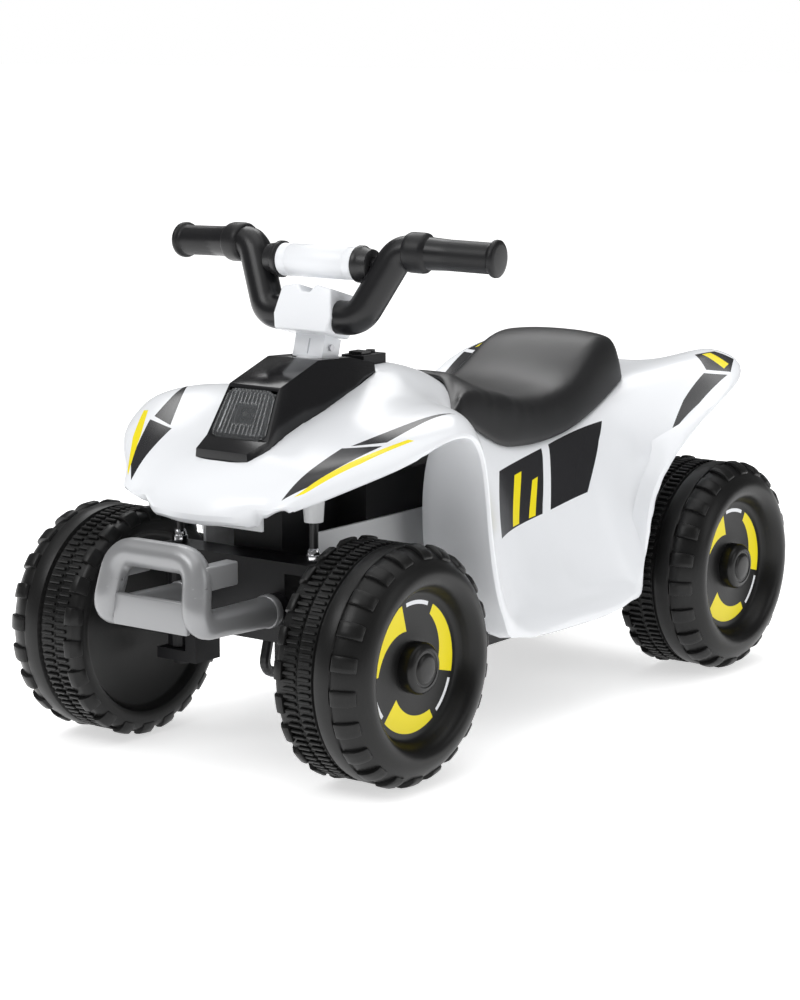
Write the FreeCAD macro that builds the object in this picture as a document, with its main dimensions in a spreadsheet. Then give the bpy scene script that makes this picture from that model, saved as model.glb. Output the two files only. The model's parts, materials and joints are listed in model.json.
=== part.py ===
"""Kids quad bike: every piece as its own solid, in millimetres, front towards -Y, floor at Z = 0."""
import FreeCAD, Part
import math
import os
import Mesh
import Sketcher

# Sizes: one sheet of named numbers that the pieces are bound to

doc = FreeCAD.newDocument("quad_bike")
sheet = doc.addObject("Spreadsheet::Sheet", "Sizes")
size_rows = (
    ("wheel_radius", 107.5), ("wheel_width", 92), ("track", 315), ("wheelbase", 544.5),
    ("axle_dia", 10), ("running_gap", 0.4), ("lug_count", 22), ("lug_height", 3),
    ("lug_width", 13), ("hub_face", 27), ("cap_radius", 23), ("cap_tip", 44),
    ("kingpin_spread", 155), ("kingpin_dia", 8), ("sleeve_dia", 24), ("sleeve_height", 84),
    ("ear_thick", 10), ("beam_depth", 34), ("beam_half", 92), ("arm_length", 70),
    ("pin_dia", 8), ("tie_rise", 10.5), ("tie_thick", 8), ("steer_tilt", 15.7),
    ("crank_radius", 45), ("rod_dia", 10), ("neck_dia", 34), ("bar_dia", 23),
    ("grip_dia", 28), ("flange_dia", 34), ("bar_end", 184), ("pad_half", 48),
    ("pad_dia", 30), ("bumper_tube", 22), ("shell_wall", 3), ("seam", 0.4),
    ("chassis_wall", 4), ("spine_half", 61), ("floor_half", 134), ("gear_module", 2),
    ("motor_dia", 36), ("motor_length", 50), ("screw_dia", 4), ("seat_edge", 4),
    ("seat_gap", 1.3),
)
for row, (name, number) in enumerate(size_rows, 1):
    sheet.set("A%d" % row, name)
    sheet.set("B%d" % row, str(number))
    sheet.setAlias("B%d" % row, name)
doc.recompute()

DRAWN_WHEELBASE = 544.5
DRAWN_AXLE_HEIGHT = 107.5


def size(name):
    """The number held by one named cell of the sheet."""
    return float(sheet.get(name))


# Coordinates: a number, a (cell, factor, extra) triple, or a list of these to add up

def number_of(coordinate):
    """The value of a coordinate now."""
    if isinstance(coordinate, list):
        return sum(number_of(part) for part in coordinate)
    if isinstance(coordinate, tuple):
        name, factor, extra = coordinate
        return size(name) * factor + extra
    return coordinate


def words_of(coordinate):
    """The same coordinate as an expression that names its cells."""
    if isinstance(coordinate, list):
        return " + ".join(words_of(part) for part in coordinate)
    if isinstance(coordinate, tuple):
        name, factor, extra = coordinate
        return "(Sizes.%s * (%r) + (%r))" % (name, factor, extra)
    return "(%r)" % coordinate


def along(y):
    """A place along the bike, which stretches with the wheelbase."""
    return ("wheelbase", y / DRAWN_WHEELBASE, 0)


def above(z):
    """A height, which rises with the axles."""
    return ("wheel_radius", 1, z - DRAWN_AXLE_HEIGHT)


def spot(x, y, z):
    """A drawn point carried along with wheelbase and axle height."""
    return FreeCAD.Vector(x, number_of(along(y)), number_of(above(z)))


FRONT = along(-257)
REAR = along(287.5)
AXLE = above(DRAWN_AXLE_HEIGHT)
LEFT = 1
RIGHT = -1
SIDES = (("left", LEFT), ("right", RIGHT))

# Building blocks: each makes one document object with its sizes bound to the sheet

TURNS = {
    "x": FreeCAD.Rotation(FreeCAD.Vector(0, 1, 0), 90),
    "y": FreeCAD.Rotation(FreeCAD.Vector(1, 0, 0), -90),
    "z": FreeCAD.Rotation(),
}


def put(piece, x=0, y=0, z=0, rotation=None):
    """Sets a piece down at a bound place, turned if asked."""
    if rotation is not None:
        piece.Placement = FreeCAD.Placement(FreeCAD.Vector(), rotation)
    for letter, coordinate in zip("xyz", (x, y, z)):
        piece.setExpression("Placement.Base." + letter, words_of(coordinate))
    return piece


def bound(kind, label, **lengths):
    """A primitive whose lengths are bound to the sheet."""
    piece = doc.addObject(kind, label)
    piece.Label = label
    for name, coordinate in lengths.items():
        piece.setExpression(name, words_of(coordinate))
    return piece


def rod(label, radius, length, x=0, y=0, z=0, axis="z"):
    """A round bar from a point along one axis."""
    bar = bound("Part::Cylinder", label, Radius=radius, Height=length)
    return put(bar, x, y, z, TURNS[axis])


def bar(label, radius, length, x=0, y=0, z=0, axis="z"):
    """A bar of sixteen flats from a point along one axis, for outsides that turn in nothing."""
    prism = bound("Part::Prism", label, Circumradius=radius, Height=length)
    prism.Polygon = 16
    return put(prism, x, y, z, TURNS[axis])


def block(label, x, y, z):
    """A block between bound limits, each given as a (low, high) pair."""
    spans = []
    for low, high in (x, y, z):
        spans.append([high, minus(low)])
    piece = bound("Part::Box", label, Length=spans[0], Width=spans[1], Height=spans[2])
    return put(piece, x[0], y[0], z[0])


def minus(coordinate):
    """The coordinate with its sign changed."""
    if isinstance(coordinate, list):
        return [minus(part) for part in coordinate]
    if isinstance(coordinate, tuple):
        name, factor, extra = coordinate
        return (name, -factor, -extra)
    return -coordinate


def times(coordinate, factor):
    """The coordinate scaled by a plain number."""
    if isinstance(coordinate, list):
        return [times(part, factor) for part in coordinate]
    if isinstance(coordinate, tuple):
        name, share, extra = coordinate
        return (name, share * factor, extra * factor)
    return coordinate * factor


def joined(label, pieces):
    """Several solids as one."""
    union = doc.addObject("Part::MultiFuse", label)
    union.Label = label
    union.Shapes = pieces
    return union


def carved(label, stock, tools):
    """A solid with other solids taken out of it."""
    for step, tool in enumerate(tools, 1):
        last = step == len(tools)
        cut = doc.addObject("Part::Cut", label if last else "%s_step_%d" % (label, step))
        cut.Base = stock
        cut.Tool = tool
        stock = cut
    stock.Label = label
    return stock


def ready(label, shape):
    """A piece whose form is worked out point by point."""
    piece = doc.addObject("Part::Feature", label)
    piece.Label = label
    piece.Shape = shape
    return piece


def group(label, pieces):
    """Like fasteners kept as one piece of several solids."""
    bundle = doc.addObject("Part::Compound", label)
    bundle.Label = label
    bundle.Links = pieces
    return bundle


def new_body(label):
    """An empty part body."""
    body = doc.addObject("PartDesign::Body", label)
    body.Label = label
    return body


def sketch_on(body, role, spin=0):
    """A sketch on one of the body's own planes, spun about its horizontal axis."""
    drawing = body.newObject("Sketcher::SketchObject", body.Name + "_drawing")
    plane = [feature for feature in body.Origin.OriginFeatures if feature.Role == role][0]
    drawing.AttachmentSupport = [(plane, "")]
    drawing.MapMode = "FlatFace"
    turn = FreeCAD.Rotation(FreeCAD.Vector(1, 0, 0), spin)
    drawing.AttachmentOffset = FreeCAD.Placement(FreeCAD.Vector(), turn)
    return drawing


def loop(drawing, corners):
    """A closed outline with both coordinates of every corner bound."""
    first = drawing.GeometryCount
    count = len(corners)
    points = [FreeCAD.Vector(number_of(x), number_of(y), 0) for x, y in corners]
    for i in range(count):
        drawing.addGeometry(Part.LineSegment(points[i], points[(i + 1) % count]), False)
    for i in range(count):
        drawing.addConstraint(Sketcher.Constraint("Coincident", first + i, 2, first + (i + 1) % count, 1))
    for i, corner in enumerate(corners):
        for kind, coordinate in zip(("DistanceX", "DistanceY"), corner):
            value = number_of(coordinate)
            index = drawing.addConstraint(Sketcher.Constraint(kind, -1, 1, first + i, 1, value))
            if not isinstance(coordinate, (int, float)):
                drawing.setExpression("Constraints[%d]" % index, words_of(coordinate))


def pad(body, drawing, length):
    """Material on both sides of a sketch."""
    feature = body.newObject("PartDesign::Pad", body.Name + "_pad")
    feature.Profile = drawing
    feature.Midplane = True
    feature.setExpression("Length", words_of(length))
    drawing.Visibility = False
    return feature


def ring_of(body, features, drawing, count):
    """Features repeated round a sketch's horizontal axis."""
    pattern = body.newObject("PartDesign::PolarPattern", body.Name + "_ring")
    pattern.Originals = features
    pattern.Axis = (drawing, ["H_Axis"])
    pattern.Angle = 360
    pattern.setExpression("Occurrences", count)
    body.Tip = pattern
    return pattern


# Freeform pieces: a net of control points gives a smooth skin, which is then cut into small flat facets

def knots(count):
    """Clamped, evenly spaced cubic knots and their multiplicities."""
    inner = count - 4
    values = [float(i) for i in range(inner + 2)]
    mults = [4] + [1] * inner + [4]
    return values, mults


def skin(net):
    """The smooth surface that a net of control points pulls into shape."""
    surface = Part.BSplineSurface()
    row_knots, row_mults = knots(len(net))
    col_knots, col_mults = knots(len(net[0]))
    surface.buildFromPolesMultsKnots(net, row_mults, col_mults, row_knots, col_knots, False, False, 3, 3)
    return surface


def faceted(front, back):
    """A closed solid of flat facets between two grids of points of one size."""
    cells = []
    rows = len(front) - 1
    cols = len(front[0]) - 1
    for i in range(rows):
        for j in range(cols):
            cells.append((front[i][j], front[i][j + 1], front[i + 1][j + 1], front[i + 1][j]))
            cells.append((back[i][j], back[i + 1][j], back[i + 1][j + 1], back[i][j + 1]))
    for j in range(cols):
        cells.append((back[0][j], back[0][j + 1], front[0][j + 1], front[0][j]))
        cells.append((front[rows][j], front[rows][j + 1], back[rows][j + 1], back[rows][j]))
    for i in range(rows):
        cells.append((front[i][0], front[i + 1][0], back[i + 1][0], back[i][0]))
        cells.append((back[i][cols], back[i + 1][cols], front[i + 1][cols], front[i][cols]))
    triangles = []
    for a, b, c, d in cells:
        for corners in ((a, b, c), (a, c, d)):
            spread = (corners[1] - corners[0]).cross(corners[2] - corners[0]).Length
            if spread > 1e-6:
                triangles.append([tuple(corner) for corner in corners])
    shape = Part.Shape()
    shape.makeShapeFromMesh(Mesh.Mesh(triangles).Topology, 0.001)
    solid = Part.Solid(Part.Shell(shape.Faces))
    if solid.Volume < 0:
        solid.reverse()
    return solid


def stacked(rings):
    """A closed solid through rings of points, with a flat lid at each end."""
    last = len(rings[0]) - 1
    lids = [(rings[0], 1), (rings[-1], -1)]
    triangles = []
    for low, high in zip(rings, rings[1:]):
        for i in range(last + 1):
            j = (i + 1) % (last + 1)
            triangles.append([tuple(low[i]), tuple(high[j]), tuple(low[j])])
            triangles.append([tuple(low[i]), tuple(high[i]), tuple(high[j])])
    for ring, order in lids:
        for i in range(1, last):
            triangles.append([tuple(corner) for corner in (ring[0], ring[i], ring[i + 1])[::order]])
    shape = Part.Shape()
    shape.makeShapeFromMesh(Mesh.Mesh(triangles).Topology, 0.001)
    solid = Part.Solid(Part.Shell(shape.Faces))
    if solid.Volume < 0:
        solid.reverse()
    return solid.removeSplitter()


def bent_line(points, bend, steps=5):
    """A line through points with its corners rounded in short steps."""
    line = [points[0]]
    for before, corner, after in zip(points, points[1:], points[2:]):
        back = (before - corner).normalize()
        ahead = (after - corner).normalize()
        half = back.getAngle(ahead) / 2
        reach = bend / math.tan(half)
        middle = (back + ahead).normalize() * (bend / math.sin(half) - bend)
        arc = Part.Arc(corner + back * reach, corner + middle, corner + ahead * reach)
        line += arc.toShape().discretize(Number=steps + 1)
    return line + [points[-1]]


def ring_at(centre, heading, across, radius, sides):
    """The corners of a regular polygon square to a heading."""
    third = heading.cross(across)
    turns = [2 * math.pi * (k + 0.5) / sides for k in range(sides)]
    return [centre + across * (radius * math.cos(a)) + third * (radius * math.sin(a)) for a in turns]


def bent_bar(points, bend, radius, sides=16):
    """A bar of many flats along a line with rounded corners."""
    line = bent_line(points, bend)
    across = FreeCAD.Vector(0.3, 0.5, 0.81)
    rings = []
    for i, point in enumerate(line):
        heading = (line[min(i + 1, len(line) - 1)] - line[max(i - 1, 0)]).normalize()
        across = (across - heading * across.dot(heading)).normalize()
        rings.append(ring_at(point, heading, across, radius, sides))
    return stacked(rings)


def ring_stack(label, sections, sides, heading, foot):
    """A turned form of many flats: regular polygons set along a heading with flat walls between them."""
    across = FreeCAD.Vector(0, 0, 1) if abs(heading.z) < 0.9 else FreeCAD.Vector(1, 0, 0)
    across = (across - heading * across.dot(heading)).normalize()
    rings = []
    for step, radius in sections:
        centre = foot + heading * number_of(step)
        rings.append(ring_at(centre, heading, across, number_of(radius), sides))
    return ready(label, stacked(rings))


def ring_loft(label, sections, sides, axis, x, y, z):
    """A ring stack along the X or Z axis from a bound foot."""
    heading = FreeCAD.Vector(1, 0, 0) if axis == "x" else FreeCAD.Vector(0, 0, 1)
    foot = FreeCAD.Vector(number_of(x), number_of(y), number_of(z))
    return ring_stack(label, sections, sides, heading, foot)


# Body shell: frames from the nose to the tail, each from the middle out to the edge and its fold

body_frames = (
    # nose lip, folded back
    ((0, -327, 221), (24, -327, 221), (42, -321, 224), (55, -311, 231), (63, -308, 230), (69, -311, 231),
     (74, -312, 234), (79, -312, 237), (83, -311, 239), (87, -309, 240), (88, -307, 239), (88, -305, 237)),
    # nose lip
    ((0, -339, 222), (25, -339, 222), (45, -333, 226), (58, -321, 236), (66, -318, 233), (73, -321, 232),
     (79, -322, 235), (85, -321, 238), (89, -319, 241), (92, -317, 242), (93, -315, 240), (93, -313, 237)),
    ((0, -338, 236), (25, -338, 235), (46, -332, 237), (60, -322, 243), (70, -320, 243), (77, -321, 243),
     (84, -320, 245), (90, -317, 247), (94, -314, 247), (97, -311, 246), (98, -309, 244), (98, -307, 241)),
    # hood and front wings
    ((0, -322, 256), (26, -322, 255), (47, -318, 254), (62, -312, 253), (72, -309, 253), (81, -308, 253),
     (89, -306, 254), (96, -303, 254), (102, -300, 253), (106, -297, 250), (107, -296, 247), (107, -295, 244)),
    ((0, -300, 272), (27, -300, 271), (48, -299, 268), (65, -297, 266), (77, -296, 265), (88, -295, 265),
     (98, -293, 265), (107, -290, 264), (115, -286, 262), (120, -283, 258), (121, -282, 255), (121, -281, 252)),
    ((0, -268, 285), (28, -268, 284), (49, -268, 281), (68, -268, 279), (83, -268, 278), (97, -267, 278),
     (111, -266, 278), (124, -264, 278), (136, -262, 277), (145, -259, 273), (147, -258, 270), (147, -257, 266)),
    ((0, -230, 298), (28, -230, 297), (50, -231, 295), (72, -232, 293), (91, -233, 291), (109, -234, 290),
     (127, -235, 290), (143, -236, 290), (155, -236, 288), (163, -235, 284), (165, -234, 280), (164, -232, 276)),
    ((0, -190, 311), (28, -190, 310), (50, -191, 307), (75, -193, 304), (98, -195, 303), (120, -198, 303),
     (141, -200, 303), (158, -202, 302), (170, -202, 299), (177, -200, 294), (177, -198, 290), (170, -195, 288)),
    # back of the front wings, turning down into the wall behind the wheel
    ((0, -152, 323), (28, -152, 321), (50, -153, 318), (76, -156, 315), (102, -160, 314), (128, -164, 315),
     (152, -168, 315), (170, -172, 312), (181, -175, 306), (185, -174, 300), (180, -172, 296), (150, -165, 296)),
    ((0, -120, 332), (28, -120, 331), (50, -121, 326), (76, -124, 320), (102, -128, 317), (128, -133, 317),
     (150, -139, 315), (167, -145, 308), (178, -149, 296), (182, -150, 287), (174, -150, 283), (122, -145, 282)),
    ((0, -95, 339), (30, -95, 337), (51, -96, 330), (74, -99, 320), (98, -103, 313), (122, -109, 309),
     (144, -117, 303), (163, -126, 290), (175, -132, 272), (179, -134, 258), (171, -136, 254), (104, -132, 254)),
    ((0, -72, 341), (30, -72, 338), (51, -72, 329), (71, -74, 315), (90, -78, 301), (112, -86, 289),
     (136, -98, 275), (158, -113, 255), (172, -124, 233), (178, -128, 216), (171, -131, 213), (99, -128, 213)),
    # tank and knee recess
    ((0, -50, 338), (28, -50, 334), (48, -50, 324), (66, -50, 307), (83, -52, 287), (103, -60, 266),
     (128, -76, 242), (152, -98, 215), (170, -115, 192), (178, -121, 176), (171, -125, 174), (97, -122, 175)),
    ((0, -27, 333), (27, -27, 328), (46, -27, 317), (64, -27, 299), (80, -27, 276), (97, -33, 244),
     (119, -50, 208), (146, -78, 170), (168, -101, 145), (177, -108, 130), (170, -112, 128), (96, -110, 130)),
    ((0, -3, 326), (26, -3, 320), (45, -3, 307), (64, -2, 287), (80, -2, 262), (95, -6, 222),
     (114, -20, 172), (141, -52, 130), (167, -79, 110), (176, -87, 95), (170, -92, 90), (130, -93, 106)),
    # saddle and foot boards
    ((0, 28, 306), (26, 28, 300), (46, 28, 286), (67, 29, 265), (84, 30, 247), (97, 28, 208),
     (112, 20, 158), (137, -5, 121), (165, -30, 110), (175, -38, 94), (170, -45, 83), (150, -45, 87)),
    ((0, 68, 282), (26, 68, 277), (47, 68, 267), (68, 69, 256), (86, 70, 245), (99, 68, 206),
     (113, 62, 157), (136, 48, 123), (164, 32, 111), (174, 26, 95), (169, 24, 83), (150, 22, 86)),
    ((0, 110, 274), (26, 110, 271), (48, 110, 264), (69, 110, 256), (87, 110, 247), (100, 108, 208),
     (113, 104, 158), (136, 96, 123), (164, 86, 110), (174, 82, 94), (169, 81, 82), (150, 80, 85)),
    ((0, 150, 276), (26, 150, 273), (48, 150, 267), (70, 150, 260), (88, 149, 252), (102, 146, 216),
     (115, 141, 166), (138, 132, 128), (164, 124, 110), (174, 122, 94), (169, 124, 83), (148, 122, 87)),
    # wall before the rear wheel
    ((0, 185, 282), (26, 185, 280), (48, 185, 275), (70, 184, 268), (89, 182, 262), (104, 178, 232),
     (120, 170, 190), (141, 156, 148), (162, 147, 126), (172, 145, 112), (167, 150, 106), (120, 150, 112)),
    ((0, 215, 289), (26, 215, 287), (48, 214, 283), (71, 213, 277), (91, 210, 273), (108, 205, 251),
     (126, 194, 216), (145, 175, 180), (162, 160, 158), (171, 154, 144), (165, 157, 140), (104, 157, 142)),
    ((0, 242, 295), (26, 242, 294), (49, 241, 291), (73, 239, 287), (94, 235, 284), (113, 229, 267),
     (132, 216, 240), (149, 193, 212), (163, 168, 192), (170, 154, 182), (164, 157, 178), (105, 158, 180)),
    # rear wings
    ((0, 264, 299), (26, 264, 298), (49, 263, 296), (74, 261, 294), (97, 256, 293), (117, 250, 280),
     (137, 237, 259), (154, 213, 237), (165, 186, 219), (171, 168, 212), (166, 168, 208), (115, 166, 210)),
    ((0, 284, 300), (27, 284, 300), (50, 283, 299), (76, 281, 300), (100, 277, 301), (122, 271, 292),
     (142, 260, 276), (159, 240, 259), (170, 217, 247), (175, 203, 241), (172, 201, 236), (140, 190, 240)),
    ((0, 304, 300), (27, 304, 300), (51, 303, 300), (78, 302, 303), (103, 299, 308), (126, 296, 303),
     (147, 289, 293), (164, 275, 282), (174, 260, 273), (179, 250, 267), (178, 247, 262), (168, 238, 262)),
    ((0, 325, 300), (27, 325, 300), (52, 325, 301), (79, 325, 306), (105, 325, 313), (128, 324, 311),
     (149, 320, 305), (166, 312, 299), (176, 303, 294), (181, 297, 289), (181, 294, 285), (178, 290, 281)),
    ((0, 342, 300), (27, 342, 300), (52, 343, 302), (79, 345, 308), (104, 348, 316), (126, 349, 316),
     (145, 346, 313), (160, 340, 309), (169, 334, 305), (174, 330, 300), (174, 328, 296), (172, 325, 292)),
    ((0, 352, 300), (27, 352, 300), (51, 354, 302), (76, 358, 309), (98, 362, 317), (117, 364, 319),
     (132, 362, 317), (144, 358, 314), (151, 354, 311), (155, 351, 307), (155, 349, 303), (154, 347, 299)),
    # tail edge and its fold
    ((0, 355, 297), (27, 355, 297), (50, 358, 299), (73, 362, 306), (93, 367, 314), (110, 369, 316),
     (122, 367, 314), (132, 363, 311), (138, 359, 308), (141, 356, 305), (141, 354, 302), (141, 352, 298)),
    ((0, 355, 291), (27, 355, 291), (50, 358, 293), (72, 362, 300), (91, 366, 308), (107, 368, 310),
     (118, 366, 308), (127, 362, 305), (133, 358, 302), (136, 355, 299), (137, 353, 297), (137, 351, 294)),
)


def both_sides(frame):
    """A left half frame and its mirror image as one row of control points, right to left."""
    right = [spot(-x, y, z) for x, y, z in reversed(frame[1:])]
    left = [spot(x, y, z) for x, y, z in frame]
    return right + left


body_skin = skin([both_sides(frame) for frame in body_frames])
BODY_ROWS = 40
BODY_COLS = 30
LAST_U = len(body_frames) - 3.0
LAST_V = 2.0 * len(body_frames[0]) - 4.0
MIDDLE_V = LAST_V / 2


def body_point(u, v, depth):
    """A point of the body's skin, moved inwards by a depth."""
    return body_skin.value(u, v) + body_skin.normal(u, v) * depth


def body_grid(depth):
    """The skin, or the face a depth behind it, as a grid of points."""
    grid = []
    for i in range(BODY_ROWS + 1):
        u = LAST_U * i / BODY_ROWS
        grid.append([body_point(u, LAST_V * j / BODY_COLS, depth) for j in range(BODY_COLS + 1)])
    return grid


outside = body_grid(0)
inside = body_grid(size("shell_wall"))


def facet_height(corners, x, y):
    """The height of a facet over a point, or None where it doesn't reach."""
    a, b, c = corners
    area = (b.x - a.x) * (c.y - a.y) - (c.x - a.x) * (b.y - a.y)
    if abs(area) < 1e-6:
        return None
    first = ((b.x - x) * (c.y - y) - (c.x - x) * (b.y - y)) / area
    second = ((c.x - x) * (a.y - y) - (a.x - x) * (c.y - y)) / area
    third = 1 - first - second
    if min(first, second, third) < -1e-9:
        return None
    return first * a.z + second * b.z + third * c.z


def under_skin(x, y, reach=0):
    """The height just below the shell over a point and the ring around it, for what stands there."""
    ring = [(x, y)]
    for turn in range(8):
        angle = turn * math.pi / 4
        ring.append((x + reach * math.cos(angle), y + reach * math.sin(angle)))
    heights = []
    for low, high in zip(inside, inside[1:]):
        for j in range(BODY_COLS):
            for corners in ((low[j], high[j], high[j + 1]), (low[j], high[j + 1], low[j + 1])):
                heights += [facet_height(corners, px, py) for px, py in ring]
    floor = number_of(above(200))
    return min(z for z in heights if z is not None and z > floor) - size("seam")


# Cowl: the black headlight housing, a tapered hollow block let into the hood

cowl_sections = (
    (-289, 31, 258, 29, 281), (-267, 38, 258, 35, 290), (-242, 38, 264, 29, 334),
    (-188, 41, 280, 29, 353), (-140, 40, 292, 29, 351), (-101, 31, 308, 26, 342),
)


def tapered_block(sections, grow, cap, drop):
    """A block through cross sections, each wider at the foot, grown or shrunk by a margin."""
    rings = []
    first = sections[0][0]
    last = sections[-1][0]
    for y, low_half, low, high_half, high in sections:
        end = cap if y == last else -cap if y == first else 0
        foot = low_half + grow + (low_half - high_half) * drop / (high - low)
        head = high_half + grow
        rings.append([
            spot(-foot, y + end, low - drop), spot(foot, y + end, low - drop),
            spot(head, y + end, high + grow), spot(-head, y + end, high + grow),
        ])
    return stacked(rings)


wall = size("shell_wall")
cowl_stock = ready("cowl_stock", tapered_block(cowl_sections, 0, 0, 0))
cowl_hollow = ready("cowl_hollow", tapered_block(cowl_sections, -wall, -wall, 10))
cowl_opening = ready("cowl_opening", tapered_block(cowl_sections, size("seam"), size("seam"), 10))

LENS_TURN = FreeCAD.Rotation(FreeCAD.Vector(1, 0, 0), 60.4)
STEER_TURN = FreeCAD.Rotation(FreeCAD.Vector(1, 0, 0), -size("steer_tilt"))
COLUMN_Y = along(-156)
COLUMN_Z = above(350)


def on_lens(label, width, height, low, high):
    """A block square to the sloping lamp, centred on it, between two depths along its normal."""
    piece = bound("Part::Box", label, Length=width, Width=height, Height=high - low)
    normal = LENS_TURN.multVec(FreeCAD.Vector(0, 0, 1))
    upward = LENS_TURN.multVec(FreeCAD.Vector(0, 1, 0))
    centre = FreeCAD.Vector(0, -254.5, 312) - upward * (height / 2) + normal * low
    return put(piece, -width / 2, along(centre.y), above(centre.z), LENS_TURN)


def on_column(label, radius, low, high):
    """A round bar on the steering axis between two marks along it."""
    bar = bound("Part::Cylinder", label, Radius=radius, Height=high - low)
    foot = STEER_TURN.multVec(FreeCAD.Vector(0, 0, low))
    return put(bar, 0, [COLUMN_Y, foot.y], [COLUMN_Z, foot.z], STEER_TURN)


def column_block(label, x, y, z):
    """A block square to the steering axis between plain limits."""
    piece = bound("Part::Box", label, Length=x[1] - x[0], Width=y[1] - y[0], Height=z[1] - z[0])
    corner = STEER_TURN.multVec(FreeCAD.Vector(x[0], y[0], z[0]))
    return put(piece, corner.x, [COLUMN_Y, corner.y], [COLUMN_Z, corner.z], STEER_TURN)


lens_gap = on_lens("lens_gap", 54 + 2 * size("seam"), 43 + 2 * size("seam"), -12, 12)
neck_way = on_column("neck_way", ("neck_dia", 0.5, 5), -70, 30)
cowl = carved("cowl", cowl_stock, [cowl_hollow, lens_gap, neck_way])

# Headlight: clear lens, dished reflector behind it and a board with two lamps

lens = on_lens("headlight_lens", 54, 43, -2.5, 1.2)
dish_stock = on_lens("dish_stock", 50, 39, -16, -2.5)
dish_bowl = on_lens("dish_bowl", 44, 33, -13, 0)
reflector = carved("headlight_reflector", dish_stock, [dish_bowl])
board = on_lens("lamp_board", 26, 14, -13, -11.4)
lamps = []
for side in (-6, 6):
    lamp = bound("Part::Cylinder", "lamp_%d" % (side + 6), Radius=2.5, Height=4)
    seat_of_lamp = LENS_TURN.multVec(FreeCAD.Vector(0, 0, -11.4))
    lamps.append(put(lamp, side, along(-254.5 + seat_of_lamp.y), above(312 + seat_of_lamp.z), LENS_TURN))
lamp_pair = group("lamp_pair", lamps)

# Switch box: a small raised box behind the cowl with the direction rocker and the power button

BOX_BACK = along(-66)
BOX_FRONT = along(-100)
box_stock = block("box_stock", (-13, 13), (BOX_FRONT, BOX_BACK), (above(322), above(347)))
rocker_well = block("rocker_well", (-8.5, 8.5), (along(-98), along(-80)), (above(337), above(350)))
pin_way = rod("pin_way", 1.9, 22, -11, along(-89), above(345), "x")
button_well = rod("button_well", 4.9, 20, 0, along(-72.5), above(335), "z")
switch_box = carved("switch_box", box_stock, [rocker_well, pin_way, button_well])
rocker_pin = bar("rocker_pin", 1.5, 20, -10, along(-89), above(345), "x")
rocker_cap = block("rocker_cap", (-7.6, 7.6), ([along(-89), -7], [along(-89), 7]), (above(340.5), above(350)))
rocker = joined("rocker_switch", [rocker_cap, rocker_pin])
button = bar("power_button", 4.5, 12, 0, along(-72.5), above(337.6), "z")
box_opening = block(
    "box_opening", ([-13, ("seam", -1, 0)], [13, ("seam", 1, 0)]),
    ([BOX_FRONT, ("seam", -1, 0)], [BOX_BACK, ("seam", 1, 0)]), (above(300), above(360)))

# Foot pedal: base let into the right foot board, a hinged plate over it and the switch under it

PEDAL_X = (-160, -134)
base_stock = block("base_stock", PEDAL_X, (along(8), along(72)), (above(98), above(119)))
base_ears = block("base_ears", (-152, -142), (along(64), along(72)), (above(118), above(128)))
base_whole = joined("base_whole", [base_stock, base_ears])
switch_well = block("switch_well", (-155, -139), (along(18), along(42)), (above(103), above(125)))
hinge_way = rod("hinge_way", 2.4, 40, -167, along(68), above(124), "x")
pedal_base = carved("pedal_base", base_whole, [switch_well, hinge_way])
plate_stock = block("plate_stock", (-159, -135), (along(8.6), along(72)), (above(124.5), above(129.5)))
plate_gap = block("plate_gap", (-152.6, -141.4), (along(62), along(80)), (above(110), above(140)))
plate_pin = bar("plate_pin", 2, 24, -159, along(68), above(124), "x")
plate_cut = carved("plate_cut", plate_stock, [plate_gap])
pedal = joined("foot_pedal", [plate_cut, plate_pin])
switch_case = block("switch_case", (-154, -140), (along(20), along(40)), (above(103), above(115)))
plunger = bar("plunger", 2.5, 4, -147, along(30), above(115), "z")
pedal_switch = joined("pedal_switch", [switch_case, plunger])
pedal_opening = block(
    "pedal_opening", ([PEDAL_X[0], ("seam", -1, 0)], [PEDAL_X[1], ("seam", 1, 0)]),
    ([along(8), ("seam", -1, 0)], [along(72), ("seam", 1, 0)]), (above(95), above(150)))

# Body shell with its openings

body_stock = ready("body_stock", faceted(outside, inside))
openings = joined("openings", [cowl_opening, box_opening, pedal_opening])
body_shell = carved("body_shell", body_stock, [openings])

# Seat: a padded cushion that follows the saddle below and swells to a hump behind

SEAT_ROWS = 22
SEAT_COLS = 16
seat_crest = ((-50, 328), (15, 322), (35, 312), (65, 301), (100, 296), (140, 299), (165, 308), (190, 324),
              (213, 337), (240, 342), (265, 337), (285, 326), (310, 307))


def crest_slope(i):
    """The slope of the cushion's middle line at one of its marks."""
    before = seat_crest[max(i - 1, 0)]
    after = seat_crest[min(i + 1, len(seat_crest) - 1)]
    return (after[1] - before[1]) / (after[0] - before[0])


def crest_height(y):
    """The height of the cushion's middle line over a drawn place, smooth through all its marks."""
    for i in range(len(seat_crest) - 1):
        (y0, z0), (y1, z1) = seat_crest[i], seat_crest[i + 1]
        if y <= y1:
            t = max(0, (y - y0) / (y1 - y0))
            rise = (y1 - y0) * ((1 - t) ** 2 * t * crest_slope(i) - t * t * (1 - t) * crest_slope(i + 1))
            return z0 + (z1 - z0) * t * t * (3 - 2 * t) + rise
    return seat_crest[-1][1]


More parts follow.
